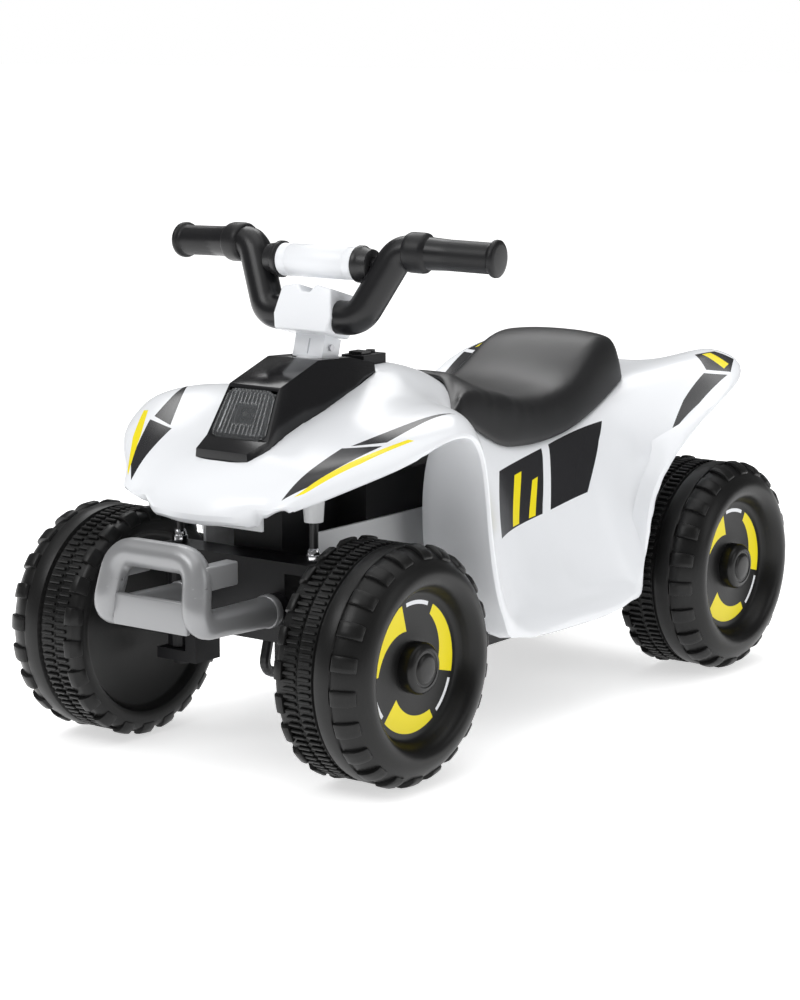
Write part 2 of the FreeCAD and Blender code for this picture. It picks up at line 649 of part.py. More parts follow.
def seat_grid(top):
    """The cushion's upper or lower face over its outline on the saddle."""
    grid = []
    for i in range(SEAT_ROWS + 1):
        share = i / SEAT_ROWS
        row = []
        for j in range(SEAT_COLS + 1):
            side = 2 * j / SEAT_COLS - 1
            side = math.copysign(abs(side) ** 0.75, side)
            front = 13.4 - 2.6 * abs(side) ** 1.6
            back = 22.5 - 1.7 * side * side
            u = front + (back - front) * share
            v = MIDDLE_V + side * (3.75 - 0.75 * share ** 4)
            base = body_point(u, v, -size("seat_gap"))
            if top:
                base = body_point(u, v, -size("seat_gap") - size("seat_edge"))
                edge = min(1 - abs(side), 2.2 * share, 2.6 * (1 - share))
                swell = (1 - (1 - min(1, edge / 0.30)) ** 2) ** 0.5
                drawn_y = base.y * DRAWN_WHEELBASE / size("wheelbase")
                crest = number_of(above(crest_height(drawn_y))) - 9 * side * side
                base.z = base.z + max(crest - base.z, 12) * swell
            row.append(base)
        grid.append(row)
    return grid


seat = ready("seat", faceted(seat_grid(True), seat_grid(False)))

# Wheels: hollow blow-moulded, a dished tyre with two rows of shoulder lugs, and a snap-in hub cap

BORE = [("axle_dia", 0.5, 0), ("running_gap", 1, 0)]
HALF_WIDTH = ("wheel_width", 0.5, 0)
WHEEL_SIDES = int(2 * size("lug_count"))


def rim(drop):
    """A radius counted inwards from the lug tips."""
    return ("wheel_radius", 1, -drop)


def across_wheel(side, sections):
    """Stations along the axle, mirrored for a right-hand wheel."""
    return [(times(step, side), radius) for step, radius in sections]


def lug_row(way):
    """One shoulder's ring of lugs, each with its outer corner taken off; way is 1 outside, -1 inside."""
    body = new_body("lugs_%s" % ("outside" if way > 0 else "inside"))
    drawing = sketch_on(body, "XY_Plane", 0 if way > 0 else 180 / size("lug_count"))
    loop(drawing, [
        (("wheel_width", 0.5 * way, -24 * way), rim(12)), (("wheel_width", 0.5 * way, -24 * way), rim(0)),
        (("wheel_width", 0.5 * way, -13 * way), rim(0)), (("wheel_width", 0.5 * way, -1.5 * way), rim(9)),
        (("wheel_width", 0.5 * way, -1.5 * way), rim(19)), (("wheel_width", 0.5 * way, -9 * way), rim(19))])
    ring_of(body, [pad(body, drawing, ("lug_width", 1, 0))], drawing, "Sizes.lug_count")
    return body


def wheel_form():
    """The left-hand wheel about its own centre, its dished face outwards along +X."""
    tread = [rim(0), ("lug_height", -1, 0)]
    tyre = ring_loft("tyre", (
        (("wheel_width", -0.5, 0), rim(14)), (("wheel_width", -0.5, 9), tread),
        (("wheel_width", 0.5, -9), tread), (HALF_WIDTH, rim(14))), WHEEL_SIDES, "x", 0, 0, 0)
    dish = ring_loft("dish", (
        (("hub_face", 1, 0), rim(41)), (("hub_face", 1, 2), rim(31)), (("wheel_width", 0.5, -10), rim(26)),
        (("wheel_width", 0.5, 1), rim(18))), WHEEL_SIDES, "x", 0, 0, 0)
    back_ends = ((("wheel_width", -0.5, -1), rim(24)), (-36, rim(28)))
    back = ring_loft("back", back_ends, WHEEL_SIDES, "x", 0, 0, 0)
    hollow = ring_loft("hollow", (
        (-31, rim(18)), (-22, rim(10)), (30, rim(10)), (32, rim(15)), (("hub_face", 1, -5), rim(36))),
        12, "x", 0, 0, 0)
    core = ring_loft("hub_core", ((-40, 28), (40, 28)), 8, "x", 0, 0, 0)
    cavity = carved("cavity", hollow, [core])
    blow = ring_loft("blow_hole", ((-40, 3), (0, 3)), 8, "x", 0, 0, 55)
    bore = rod("wheel_bore", BORE, 140, -70, 0, 0, "x")
    shell = carved("tyre_shell", tyre, [dish, back, cavity, blow, bore])
    return joined("wheel_form", [shell, lug_row(1), lug_row(-1)])


def mirrored_form(label, source):
    """The right-hand twin of a left-hand form."""
    twin = doc.addObject("Part::Mirroring", label)
    twin.Source = source
    twin.Normal = FreeCAD.Vector(1, 0, 0)
    return twin


def hub_cap(label, side, x, y):
    """The domed cap over the axle end."""
    edge = ("cap_radius", 1, 0)
    dome = ring_loft(label + "_dome", across_wheel(side, (
        (("hub_face", 1, 0), edge), (("cap_tip", 1, -7), edge), (("cap_tip", 1, -2), ("cap_radius", 1, -5)),
        (("cap_tip", 1, 0), ("cap_radius", 1, -12)))), 24, "x", x, y, AXLE)
    room = ring_loft(label + "_room", across_wheel(side, (
        (("hub_face", 1, -1), 14), (("cap_tip", 1, -3), 14))), 12, "x", x, y, AXLE)
    return carved(label, dome, [room])


def axle_nut(label, side, x, y):
    """The push nut that keeps a wheel on its axle."""
    start = [x, ("hub_face", side, 0.4 * side if side > 0 else -5.4)]
    stock = bound("Part::Prism", label + "_stock", Circumradius=9.5, Height=5)
    stock.Polygon = 6
    put(stock, start, y, AXLE, TURNS["x"])
    hole = rod(label + "_hole", ("axle_dia", 0.5, 0.05), 9, [start, -2], y, AXLE, "x")
    return carved(label, stock, [hole])


HALF_TRACK = ("track", 0.5, 0)
left_form = wheel_form()
forms = {LEFT: left_form, RIGHT: mirrored_form("wheel_twin", left_form)}
rear_nuts = []
for name, side in SIDES:
    x = times(HALF_TRACK, side)
    for place, y in (("front", FRONT), ("rear", REAR)):
        put(group("wheel_%s_%s" % (place, name), [forms[side]]), x, y, AXLE)
        hub_cap("hub_cap_%s_%s" % (place, name), side, x, y)
    axle_nut("axle_nut_" + name, side, x, FRONT)
    rear_nuts.append(axle_nut("rear_nut_" + name, side, x, REAR))
group("rear_axle_nuts", rear_nuts)

# Front axle: beam with two forks, kingpin rods, nuts, steering knuckles and the white bosses above

LOW_EAR = above(80)
SLEEVE_FOOT = above(91)
HIGH_EAR = [SLEEVE_FOOT, ("sleeve_height", 1, 1)]
BEAM_TOP = [HIGH_EAR, ("ear_thick", 1, 0)]
HALF_SPREAD = ("kingpin_spread", 0.5, 0)
CORE_HALF = ("kingpin_spread", 0.5, -19.5)
BEAM_HALF = ("beam_half", 1, 0)
LOW_TOP = [LOW_EAR, ("ear_thick", 1, 0)]

beam_body = new_body("beam_stock")
beam_front = sketch_on(beam_body, "XZ_Plane")
ARCH_HALF = ("kingpin_spread", 0.5, -31.5)
beam_corners = [
    (ARCH_HALF, [LOW_EAR, 33]), (ARCH_HALF, LOW_EAR), (BEAM_HALF, LOW_EAR), (BEAM_HALF, LOW_TOP),
    (CORE_HALF, LOW_TOP), (CORE_HALF, HIGH_EAR), (BEAM_HALF, HIGH_EAR), (BEAM_HALF, BEAM_TOP),
]
mirrored = [(minus(x), z) for x, z in reversed(beam_corners)]
loop(beam_front, beam_corners + mirrored)
pad(beam_body, beam_front, ("beam_depth", 1, 0))
put(beam_body, 0, FRONT, 0)
pin_ways = []
kingpins = []
nuts = []
bosses = []
for name, side in SIDES:
    x = times(HALF_SPREAD, side)
    pin_ways.append(rod("pin_way_" + name, ("kingpin_dia", 0.5, 0.2), 140, x, FRONT, above(70)))
    shank_length = [above(232), minus(LOW_EAR)]
    shank = rod("kingpin_shank_" + name, ("kingpin_dia", 0.5, 0), shank_length, x, FRONT, LOW_EAR)
    head = bound("Part::Prism", "kingpin_head_" + name, Circumradius=7.5, Height=6)
    put(head, x, FRONT, [LOW_EAR, -6])
    kingpins.append(joined("kingpin_" + name, [shank, head]))
    hexagon = bound("Part::Prism", "nut_hexagon_" + name, Circumradius=7.5, Height=7)
    put(hexagon, x, FRONT, BEAM_TOP)
    dome = ring_loft("nut_dome_" + name, ((7, 6.2), (11, 5.6), (13, 4.6)), 12, "z", x, FRONT, BEAM_TOP)
    nut = joined("nut_stock_" + name, [hexagon, dome])
    thread = rod("nut_thread_" + name, ("kingpin_dia", 0.5, 0.05), 20, x, FRONT, [BEAM_TOP, -2])
    nuts.append(carved("nut_" + name, nut, [thread]))
    top = under_skin(number_of(x), number_of(FRONT), 12) - number_of(above(222))
    boss = ring_loft("boss_stock_" + name, ((0, 8.5), (top, 12)), 16, "z", x, FRONT, above(222))
    socket = rod("boss_socket_" + name, ("kingpin_dia", 0.5, 0.05), 11, x, FRONT, above(221))
    bosses.append(carved("boss_" + name, boss, [socket]))
carved("front_beam", beam_body, pin_ways)
group("kingpins", kingpins)
group("kingpin_nuts", nuts)
group("body_bosses", bosses)


TIE_Y = [FRONT, ("arm_length", 1, 0)]
TIE_LOW = [AXLE, ("tie_rise", 1, 0), ("tie_thick", -0.5, 0)]
TIE_HIGH = [AXLE, ("tie_rise", 1, 0), ("tie_thick", 0.5, 0)]
ARM_LOW = [TIE_HIGH, 2]


def knuckle(name, side):
    """Sleeve on the kingpin with the stub axle, a spacer collar, the steering arm and its pin."""
    x = times(HALF_SPREAD, side)
    sleeve = bar("sleeve_" + name, ("sleeve_dia", 0.5, 0), ("sleeve_height", 1, 0), x, FRONT, SLEEVE_FOOT)
    wheel_inside = ("track", 0.5, -36.5)
    collar_start = ("kingpin_spread", 0.5, 4)
    stub_end = [("track", 0.5, 0), ("hub_face", 1, 6)]
    collar_length = [wheel_inside, minus(collar_start)]
    stub_length = [stub_end, minus(collar_start)]
    start = collar_start if side > 0 else minus(wheel_inside)
    collar = bar("collar_" + name, 9, collar_length, start, FRONT, AXLE, "x")
    start = collar_start if side > 0 else minus(stub_end)
    stub = rod("stub_" + name, ("axle_dia", 0.5, 0), stub_length, start, FRONT, AXLE, "x")
    arm_end = [FRONT, ("arm_length", 1, 7)]
    arm = block("arm_" + name, ([x, -6], [x, 6]), ([FRONT, 6], arm_end), (ARM_LOW, [ARM_LOW, 8]))
    pin_y = [FRONT, ("arm_length", 1, 0)]
    pin_foot = [TIE_LOW, -2]
    pin = bar("arm_pin_" + name, ("pin_dia", 0.5, 0), [ARM_LOW, 6, minus(pin_foot)], x, pin_y, pin_foot)
    stock = joined("knuckle_stock_" + name, [sleeve, collar, stub, arm, pin])
    way_radius = [("kingpin_dia", 0.5, 0), ("running_gap", 1, 0)]
    way = rod("kingpin_way_" + name, way_radius, 140, x, FRONT, above(70))
    return carved("knuckle_" + name, stock, [way])


for name, side in SIDES:
    knuckle(name, side)

# Steering: bent rod, tie rod, neck, clamp block, handlebar with crossbar and pad, and the grips

TIE_SPAN = (minus(HALF_SPREAD), HALF_SPREAD)
tie_pads = [block("tie_bar", TIE_SPAN, ([TIE_Y, -6], [TIE_Y, 6]), (TIE_LOW, TIE_HIGH))]
tie_slots = []
for name, x, half, low, high in (
        ("left", HALF_SPREAD, ("pin_dia", 0.5, 0.9), -12, 8), ("middle", 0, ("rod_dia", 0.5, 0.9), -3, 20),
        ("right", minus(HALF_SPREAD), ("pin_dia", 0.5, 0.9), -12, 8)):
    tie_pads.append(block(
        "tie_pad_" + name, ([x, minus(half), -8], [x, half, 8]), ([TIE_Y, low - 6], [TIE_Y, high + 6]),
        (TIE_LOW, TIE_HIGH)))
    tie_slots.append(block(
        "tie_slot_" + name, ([x, minus(half)], [x, half]), ([TIE_Y, low], [TIE_Y, high]),
        ([TIE_LOW, -2], [TIE_HIGH, 2])))
carved("tie_rod", joined("tie_stock", tie_pads), tie_slots)

crank = size("crank_radius")
rod_low = -287.7
pin_top = rod_low + 68
rod_points = [
    FreeCAD.Vector(0, 0, 19), FreeCAD.Vector(0, 0, rod_low),
    FreeCAD.Vector(0, crank, rod_low), FreeCAD.Vector(0, crank, pin_top)]
steering_rod = ready("steering_rod", bent_bar(rod_points, 11, size("rod_dia") / 2, 12))
put(steering_rod, 0, COLUMN_Y, COLUMN_Z, STEER_TURN)

neck_foot = on_column("neck_foot", ("neck_dia", 0.5, 0), -34, 0)
neck_post = column_block("neck_post", (-17, 17), (-12, 12), (-1, 20))
neck_bore = on_column("neck_bore", ("rod_dia", 0.5, 0.05), -40, 25)
neck_slot = column_block("neck_slot", (-1, 1), (-14, -10.5), (2, 16))
carved("steering_neck", joined("neck_stock", [neck_foot, neck_post]), [neck_bore, neck_slot])
screw = bound("Part::Cylinder", "neck_screw", Radius=("screw_dia", 0.5, 1), Height=2.5)
screw_spot = STEER_TURN.multVec(FreeCAD.Vector(0, -2, 10))
put(screw, 17, [COLUMN_Y, screw_spot.y], [COLUMN_Z, screw_spot.z], TURNS["x"])

clamp_body = new_body("clamp_stock")
clamp_front = sketch_on(clamp_body, "XZ_Plane")
loop(clamp_front, [
    (-29, 20), (29, 20), (33, 34), (28, 60), (10, 63), (5, 56), (-5, 56), (-10, 63), (-28, 60), (-33, 34)])
pad(clamp_body, clamp_front, 38)
clamp_spot = STEER_TURN.multVec(FreeCAD.Vector(0, -11, 0))
put(clamp_body, 0, [COLUMN_Y, clamp_spot.y], [COLUMN_Z, clamp_spot.z], STEER_TURN)

BAR_Y = -157.5
BAR_Z = 389
bar_half = [spot(52, BAR_Y, BAR_Z), spot(84, -140, 450), spot(187, -126, 447)]
bar_half[2].x = size("bar_end") - 4
bar_points = [FreeCAD.Vector(-p.x, p.y, p.z) for p in reversed(bar_half)] + bar_half
bar_tube = ready("bar_tube", bent_bar(bar_points, 22, size("bar_dia") / 2))
CROSS_Y = along(-146)
CROSS_Z = above(437)
cross_tube = bar("cross_tube", 7, 156, -78, CROSS_Y, CROSS_Z, "x")
joined("handlebar", [bar_tube, cross_tube])
bar_way = rod("bar_way", ("bar_dia", 0.5, 0.05), 80, -40, along(BAR_Y), above(BAR_Z), "x")
carved("clamp_block", clamp_body, [bar_way])

pad_ends = ((("pad_half", -1, 0), ("pad_dia", 0.5, 0)), (("pad_half", 1, 0), ("pad_dia", 0.5, 0)))
pad_sleeve = ring_loft("pad_sleeve", pad_ends, 24, "x", 0, CROSS_Y, CROSS_Z)
pad_way = rod("pad_way", 7.05, 120, -60, CROSS_Y, CROSS_Z, "x")
carved("crossbar_pad", pad_sleeve, [pad_way])
collars = []
for name, side in SIDES:
    rim_of_pad = ("pad_dia", 0.5, 2)
    ends = ((("pad_half", side, 0), rim_of_pad), (("pad_half", side, 5 * side), rim_of_pad))
    ring = ring_loft("pad_ring_" + name, ends, 24, "x", 0, CROSS_Y, CROSS_Z)
    hole = rod("pad_hole_" + name, 7.05, 12, ("pad_half", side, 2.5 * side - 6), CROSS_Y, CROSS_Z, "x")
    collars.append(carved("pad_collar_" + name, ring, [hole]))
group("pad_collars", collars)

GRIP_LENGTH = 92
grip_sections = (
    (0, ("flange_dia", 0.5, -1)), (3, ("flange_dia", 0.5, 1.5)), (19, ("flange_dia", 0.5, 1.5)),
    (23, ("grip_dia", 0.5, 0)), (84, ("grip_dia", 0.5, 0)), (86, ("flange_dia", 0.5, 0)),
    (90, ("flange_dia", 0.5, 0)), (GRIP_LENGTH, ("flange_dia", 0.5, -2)))


def grip(name, side):
    """The rubber sleeve on one bar end, with its thick collar and end flange."""
    heading = (bar_half[2] - bar_half[1]).normalize()
    foot = bar_half[2] - heading * (GRIP_LENGTH - 3.2)
    heading.x = heading.x * side
    foot.x = foot.x * side
    turn = FreeCAD.Rotation(FreeCAD.Vector(0, 0, 1), heading)
    sleeve = ring_stack("grip_sleeve_" + name, grip_sections, 20, heading, foot)
    way = bound("Part::Cylinder", "grip_way_" + name, Radius=("bar_dia", 0.5, 0.05), Height=GRIP_LENGTH - 2)
    way.Placement = FreeCAD.Placement(foot - heading, turn)
    relief = bound("Part::Cylinder", "grip_relief_" + name, Radius=("bar_dia", 0.5, 2), Height=12)
    relief.Placement = FreeCAD.Placement(foot - heading, turn)
    return carved("grip_" + name, sleeve, [way, relief])


for name, side in SIDES:
    grip(name, side)

# Chassis: hollow spine with a foot tray, pillars for the body, the steering bulkhead and the rear axle

SPINE = ("spine_half", 1, 0)
INNER = [SPINE, ("chassis_wall", -1, 0)]
SPINE_LOW = above(84)
SPINE_TOP = above(246)
SPINE_FRONT = along(-160)
SPINE_BACK = along(312)
FLOOR = ("floor_half", 1, 0)
wall_in = ("chassis_wall", 1, 0)
spine = block("spine", (minus(SPINE), SPINE), (SPINE_FRONT, SPINE_BACK), (SPINE_LOW, SPINE_TOP))
tray = block("tray", (minus(FLOOR), FLOOR), (along(-82), along(134)), (SPINE_LOW, [SPINE_LOW, 14]))
tray_hollow = block(
    "tray_hollow", ([minus(FLOOR), wall_in], [FLOOR, minus(wall_in)]),
    ([along(-82), wall_in], [along(134), minus(wall_in)]), ([SPINE_LOW, wall_in], [SPINE_LOW, 40]))
tray_shell = carved("tray_shell", tray, [tray_hollow])
spine_hollow = block(
    "spine_hollow", (minus(INNER), INNER), ([SPINE_FRONT, wall_in], [SPINE_BACK, minus(wall_in)]),
    ([SPINE_LOW, wall_in], [SPINE_TOP, 10]))
tail_cut = block("tail_cut", (-80, 80), (along(236), along(330)), (above(152), above(260)))
pillars = []
for place, y in (("front", 20), ("rear", 200)):
    for name, side in SIDES:
        x = side * (number_of(SPINE) - 4)
        top = under_skin(x, number_of(along(y)), 6) - number_of(SPINE_TOP) + 6
        stand = [times(SPINE, side), -4 * side]
        pillars.append(bar("pillar_%s_%s" % (place, name), 5, top, stand, along(y), [SPINE_TOP, -6]))
spine_shell = carved("spine_shell", spine, [spine_hollow, tail_cut])
chassis_stock = joined("chassis_stock", [spine_shell, tray_shell] + pillars)

MOTOR_Y = along(222)
MOTOR_Z = above(141)
axle_way = rod("axle_way", ("axle_dia", 0.5, 0.05), 140, -70, REAR, AXLE, "x")
motor_way = rod("motor_way", ("motor_dia", 0.5, 0.4), 20, -66, MOTOR_Y, MOTOR_Z, "x")
carved("chassis", chassis_stock, [axle_way, motor_way])
BEAM_BACK = [FRONT, ("beam_depth", 0.5, 0)]
well_plates = []
for name, side in SIDES:
    ends = ([SPINE, 0], [SPINE, 3]) if side > 0 else ([minus(SPINE), -3], [minus(SPINE), 0])
    rear_plate = block("rear_plate_" + name, ends, (SPINE_FRONT, along(-40)), (above(100), above(207)))
    fore_plate = block("fore_plate_" + name, ends, (BEAM_BACK, SPINE_FRONT), (above(140), above(207)))
    well_plates.append(joined("well_plate_" + name, [rear_plate, fore_plate]))
group("well_walls", well_plates)

bulkhead_stock = block("bulkhead_stock", (-28, 28), (BEAM_BACK, SPINE_FRONT), (above(133), above(226)))
rod_way = on_column("rod_way", [("rod_dia", 0.5, 0), ("running_gap", 1, 0)], -320, 0)
carved("steering_bulkhead", bulkhead_stock, [rod_way])

axle_end = [("track", 0.5, 0), ("hub_face", 1, 6)]
rod("rear_axle", ("axle_dia", 0.5, 0), times(axle_end, 2), minus(axle_end), REAR, AXLE, "x")
spacer_start = [SPINE, 0.2]
spacer = bar("spacer_stock", 9, [("track", 0.5, -36.5), minus(spacer_start)], spacer_start, REAR, AXLE, "x")
spacer_way = rod("spacer_way", ("axle_dia", 0.5, 0.05), 120, 40, REAR, AXLE, "x")
carved("axle_spacer", spacer, [spacer_way])

# Drive: motor, pinion, double gear and output gear in a two-piece box beside the right rear wheel


def gear_blank(teeth, extra):
    """The outline of a spur gear with straight-sided teeth, shared points per tooth."""
    module = size("gear_module")
    pitch = teeth * module / 2
    corners = []
    for tooth in range(teeth):
        middle = 2 * math.pi * tooth / teeth + extra
        step = 2 * math.pi / teeth
        for radius, angle in (
                (pitch - 1.1 * module, -0.36), (pitch + 0.8 * module, -0.13),
                (pitch + 0.8 * module, 0.13), (pitch - 1.1 * module, 0.36)):
            turn = middle + angle * step
            corners.append(FreeCAD.Vector(0, radius * math.cos(turn), radius * math.sin(turn)))
    return Part.Face(Part.makePolygon(corners + corners[:1]))


def gear(label, teeth, extra, x, y, z):
    """A spur gear across the bike from x to x plus its width."""
    piece = ready(label, gear_blank(teeth, extra).extrude(FreeCAD.Vector(x[1] - x[0], 0, 0)))
    return put(piece, x[0], y, z)


OUTPUT_TEETH, SMALL_TEETH, LARGE_TEETH, PINION_TEETH = 30, 10, 24, 9
IDLER_Y = along(249.5)
IDLER_Z = above(121.9)
mesh_low = math.atan2(121.9 - 107.5, number_of(IDLER_Y) - number_of(REAR))
mesh_high = math.atan2(141 - 121.9, number_of(MOTOR_Y) - number_of(IDLER_Y))
output_wheel = gear("output_teeth", OUTPUT_TEETH, mesh_low, (-82.4, -73.4), REAR, AXLE)
output_hub = bar("output_hub", 14, [("track", 0.5, -36.5), -73.4], ("track", -0.5, 36.5), REAR, AXLE, "x")
output_way = rod("output_way", BORE, 80, -140, REAR, AXLE, "x")
carved("output_gear", joined("output_stock", [output_wheel, output_hub]), [output_way])
small_turn = mesh_low + math.pi + math.pi / SMALL_TEETH
small = gear("small_teeth", SMALL_TEETH, small_turn, (-82.4, -72.4), IDLER_Y, IDLER_Z)
large = gear("large_teeth", LARGE_TEETH, mesh_high, (-72.4, -65), IDLER_Y, IDLER_Z)
idler_pin = bar("idler_pin", 3, 23, -85, IDLER_Y, IDLER_Z, "x")
joined("double_gear", [small, large, idler_pin])
pinion_turn = mesh_high + math.pi + math.pi / PINION_TEETH
pinion_teeth = gear("pinion_teeth", PINION_TEETH, pinion_turn, (-72.4, -65), MOTOR_Y, MOTOR_Z)
shaft = bar("motor_shaft", 1.6, 26, -72.4, MOTOR_Y, MOTOR_Z, "x")
joined("motor_pinion", [pinion_teeth, shaft])
can = bar("motor_can", ("motor_dia", 0.5, 0), ("motor_length", 1, 0), -60.6, MOTOR_Y, MOTOR_Z, "x")
can_way = rod("motor_can_way", 2, 26, -70, MOTOR_Y, MOTOR_Z, "x")
carved("motor", can, [can_way])

CASE_Y = (along(200), along(324))
CASE_Z = (above(70), above(164))
case_stock = block("case_stock", (-83, minus(SPINE)), CASE_Y, CASE_Z)
CASE_IN_Y = ([CASE_Y[0], 3], [CASE_Y[1], -3])
CASE_IN_Z = ([CASE_Z[0], 3], [CASE_Z[1], -3])
case_ways = [block("case_hollow", (-90, -64.2), CASE_IN_Y, CASE_IN_Z)]
for name, radius, y, z in (
        ("axle", ("axle_dia", 0.5, 0.05), REAR, AXLE), ("idler", 3.4, IDLER_Y, IDLER_Z),
        ("shaft", 4, MOTOR_Y, MOTOR_Z)):
    case_ways.append(rod("case_way_" + name, radius, 40, -90, y, z, "x"))
carved("gearbox_case", case_stock, case_ways)
cover_stock = block("cover_stock", (-86, -83), CASE_Y, CASE_Z)
cover_hub = rod("cover_hub", 14.5, 20, -95, REAR, AXLE, "x")
cover_idler = rod("cover_idler", 3.4, 20, -95, IDLER_Y, IDLER_Z, "x")
carved("gearbox_cover", cover_stock, [cover_hub, cover_idler])

BATTERY_Z = ([SPINE_LOW, wall_in], [SPINE_LOW, wall_in, 101])
block("battery", (-35, 35), (along(60), along(107)), BATTERY_Z)

# Bumper: bent tube on two arms with a cross plate and two short brackets, and the panel under the hood

bumper_half = [spot(42.5, -376, 201), spot(50.4, -391, 148), spot(50, -283, 150)]
bumper_points = [FreeCAD.Vector(-p.x, p.y, p.z) for p in reversed(bumper_half)] + bumper_half
bumper_pieces = [ready("bumper_hoop", bent_bar(bumper_points, 21, size("bumper_tube") / 2))]
bumper_pieces.append(block("bumper_plate", (-42, 42), (along(-387), along(-380)), (above(138), above(167))))
for name, side in SIDES:
    x = 50 * side
    end_collar = bar("arm_collar_" + name, ("bumper_tube", 0.5, 2.5), 9, x, along(-292), above(149.5), "y")
    stub_end = [FRONT, ("beam_depth", -0.5, 0)]
    arm_stub = bar("arm_stub_" + name, 8.5, [stub_end, minus(along(-284))], x, along(-284), above(149.8), "y")
    bracket_y = (along(-377), along(-334))
    bracket = block("bracket_" + name, ([x, -7], [x, 7]), bracket_y, (above(176), above(198)))
    bumper_pieces += [end_collar, arm_stub, bracket]
joined("bumper", bumper_pieces)

panel_y = number_of(along(-296))
panel_top = min(under_skin(x, panel_y, 2) for x in (-52, -26, 0, 26, 52))
block("front_panel", (-52, 52), ([along(-296), -1.5], [along(-296), 1.5]), (above(216), panel_top))

# Output: every piece checked, then one file each

NODES = (
    "body_shell", "cowl", "headlight_lens", "headlight_reflector", "lamp_board", "lamp_pair", "switch_box",
    "rocker_switch", "power_button", "pedal_base", "foot_pedal", "pedal_switch", "seat", "front_panel",
    "wheel_front_left", "wheel_front_right", "wheel_rear_left", "wheel_rear_right",
    "hub_cap_front_left", "hub_cap_front_right", "hub_cap_rear_left", "hub_cap_rear_right",
    "axle_nut_left", "axle_nut_right", "rear_axle_nuts", "front_beam", "kingpins", "kingpin_nuts",
    "body_bosses", "knuckle_left", "knuckle_right", "tie_rod", "steering_rod", "steering_neck", "neck_screw",
    "clamp_block", "handlebar", "crossbar_pad", "pad_collars", "grip_left", "grip_right", "chassis",
    "steering_bulkhead", "well_walls", "rear_axle", "axle_spacer", "output_gear", "double_gear",
    "motor_pinion", "motor", "gearbox_case", "gearbox_cover", "battery", "bumper",
)
doc.recompute()
for piece in doc.Objects:
    if "Invalid" in piece.State or "Error" in piece.State:
        raise RuntimeError("%s did not build: %s" % (piece.Label, piece.State))
os.makedirs("parts", exist_ok=True)
for label in NODES:
    shape = doc.getObjectsByLabel(label)[0].Shape
    if shape.isNull() or not shape.isValid() or not shape.Solids:
        raise RuntimeError("%s is not a sound solid" % label)
    whole = shape.Solids[0] if len(shape.Solids) == 1 else Part.makeCompound(shape.Solids)
    whole.exportStep("parts/%s.step" % label)
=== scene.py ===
"""Looks of a child's quad bike: striped body, saddle, lamp, handlebar, wheels and bumper."""
import json
import math
import bpy
from mathutils import Matrix, Vector


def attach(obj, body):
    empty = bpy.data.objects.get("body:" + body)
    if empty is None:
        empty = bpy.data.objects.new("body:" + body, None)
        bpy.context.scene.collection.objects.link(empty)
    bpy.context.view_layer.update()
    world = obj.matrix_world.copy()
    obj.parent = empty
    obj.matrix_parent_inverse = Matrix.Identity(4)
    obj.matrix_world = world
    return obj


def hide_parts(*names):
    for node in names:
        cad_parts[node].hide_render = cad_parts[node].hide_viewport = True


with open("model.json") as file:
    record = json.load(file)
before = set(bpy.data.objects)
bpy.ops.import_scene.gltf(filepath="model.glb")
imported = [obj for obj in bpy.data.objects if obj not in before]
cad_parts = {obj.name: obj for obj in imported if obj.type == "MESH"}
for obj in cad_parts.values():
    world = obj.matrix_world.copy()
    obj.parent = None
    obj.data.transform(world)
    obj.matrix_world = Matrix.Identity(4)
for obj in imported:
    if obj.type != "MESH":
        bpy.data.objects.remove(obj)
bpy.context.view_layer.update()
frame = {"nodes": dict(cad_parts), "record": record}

# Body shell.
# One white gloss moulding: hood, front wings, tank, foot boards and rear wings.
# Its facets are smoothed; plain stripes are stuck on the wings and flanks. Their corners are
# given off the middle and along for a wing, along and off the middle for the tail, and along
# and up for a flank.

WHITE = (0.80, 0.815, 0.84)
STRIPE_GREY = (0.018, 0.018, 0.020)
STRIPE_YELLOW = (0.86, 0.72, 0.008)
WING_GREY = (
    ((0.086, -0.312), (0.104, -0.292), (0.134, -0.232), (0.098, -0.243)),
    ((0.104, -0.238), (0.134, -0.226), (0.155, -0.152)),
)
WING_YELLOW = (
    ((0.095, -0.306), (0.101, -0.300), (0.131, -0.259), (0.121, -0.260)),
    ((0.121, -0.260), (0.131, -0.259), (0.156, -0.216), (0.150, -0.2165)),
)
FLANK_GREY = (
    ((-0.028, 0.176), (0.010, 0.232), (0.092, 0.243), (0.062, 0.185)),
    ((0.075, 0.187), (0.105, 0.245), (0.190, 0.259), (0.132, 0.197)),
)
FLANK_YELLOW = (
    ((0.006, 0.181), (0.034, 0.225), (0.047, 0.227), (0.019, 0.182)),
    ((0.038, 0.184), (0.060, 0.217), (0.070, 0.219), (0.050, 0.185)),
)
TAIL_GREY = (
    ((0.222, 0.150), (0.262, 0.160), (0.312, 0.164), (0.302, 0.142), (0.260, 0.143)),
    ((0.308, 0.141), (0.318, 0.164), (0.345, 0.152), (0.352, 0.125), (0.334, 0.112)),
)
TAIL_YELLOW = (((0.320, 0.155), (0.331, 0.154), (0.345, 0.124), (0.337, 0.119)),)
WING_STRIPE_FOOT = 0.236
FLANK_STRIPE_FROM = 0.055
SKIN_MIDDLE = 0.15
FLANK_INNER = 0.10
FLANK_BLEND = 0.03
CORNER_POWER = 7
CORNER_START = 0.35
CORNER_BLEND = 0.5
BACK_CORNER = ((0.116, 0.134), (0.037, 0.047))
FRONT_CORNER = ((-0.062, 0.124), (-0.044, 0.039))
NOSE_BACK = -0.297
NOSE_TOP = 0.243
NOSE_FADE = 0.012
NOSE_FLAT = 0.026
NOSE_HALF = 0.0630
NOSE_EDGE = 0.004
NOSE_DROP = 0.0075
KNEE_LOW = (0.088, 0.07, 0.118)
KNEE_HIGH = (0.164, 0.20, 0.24)
KNEE_PASSES = 160


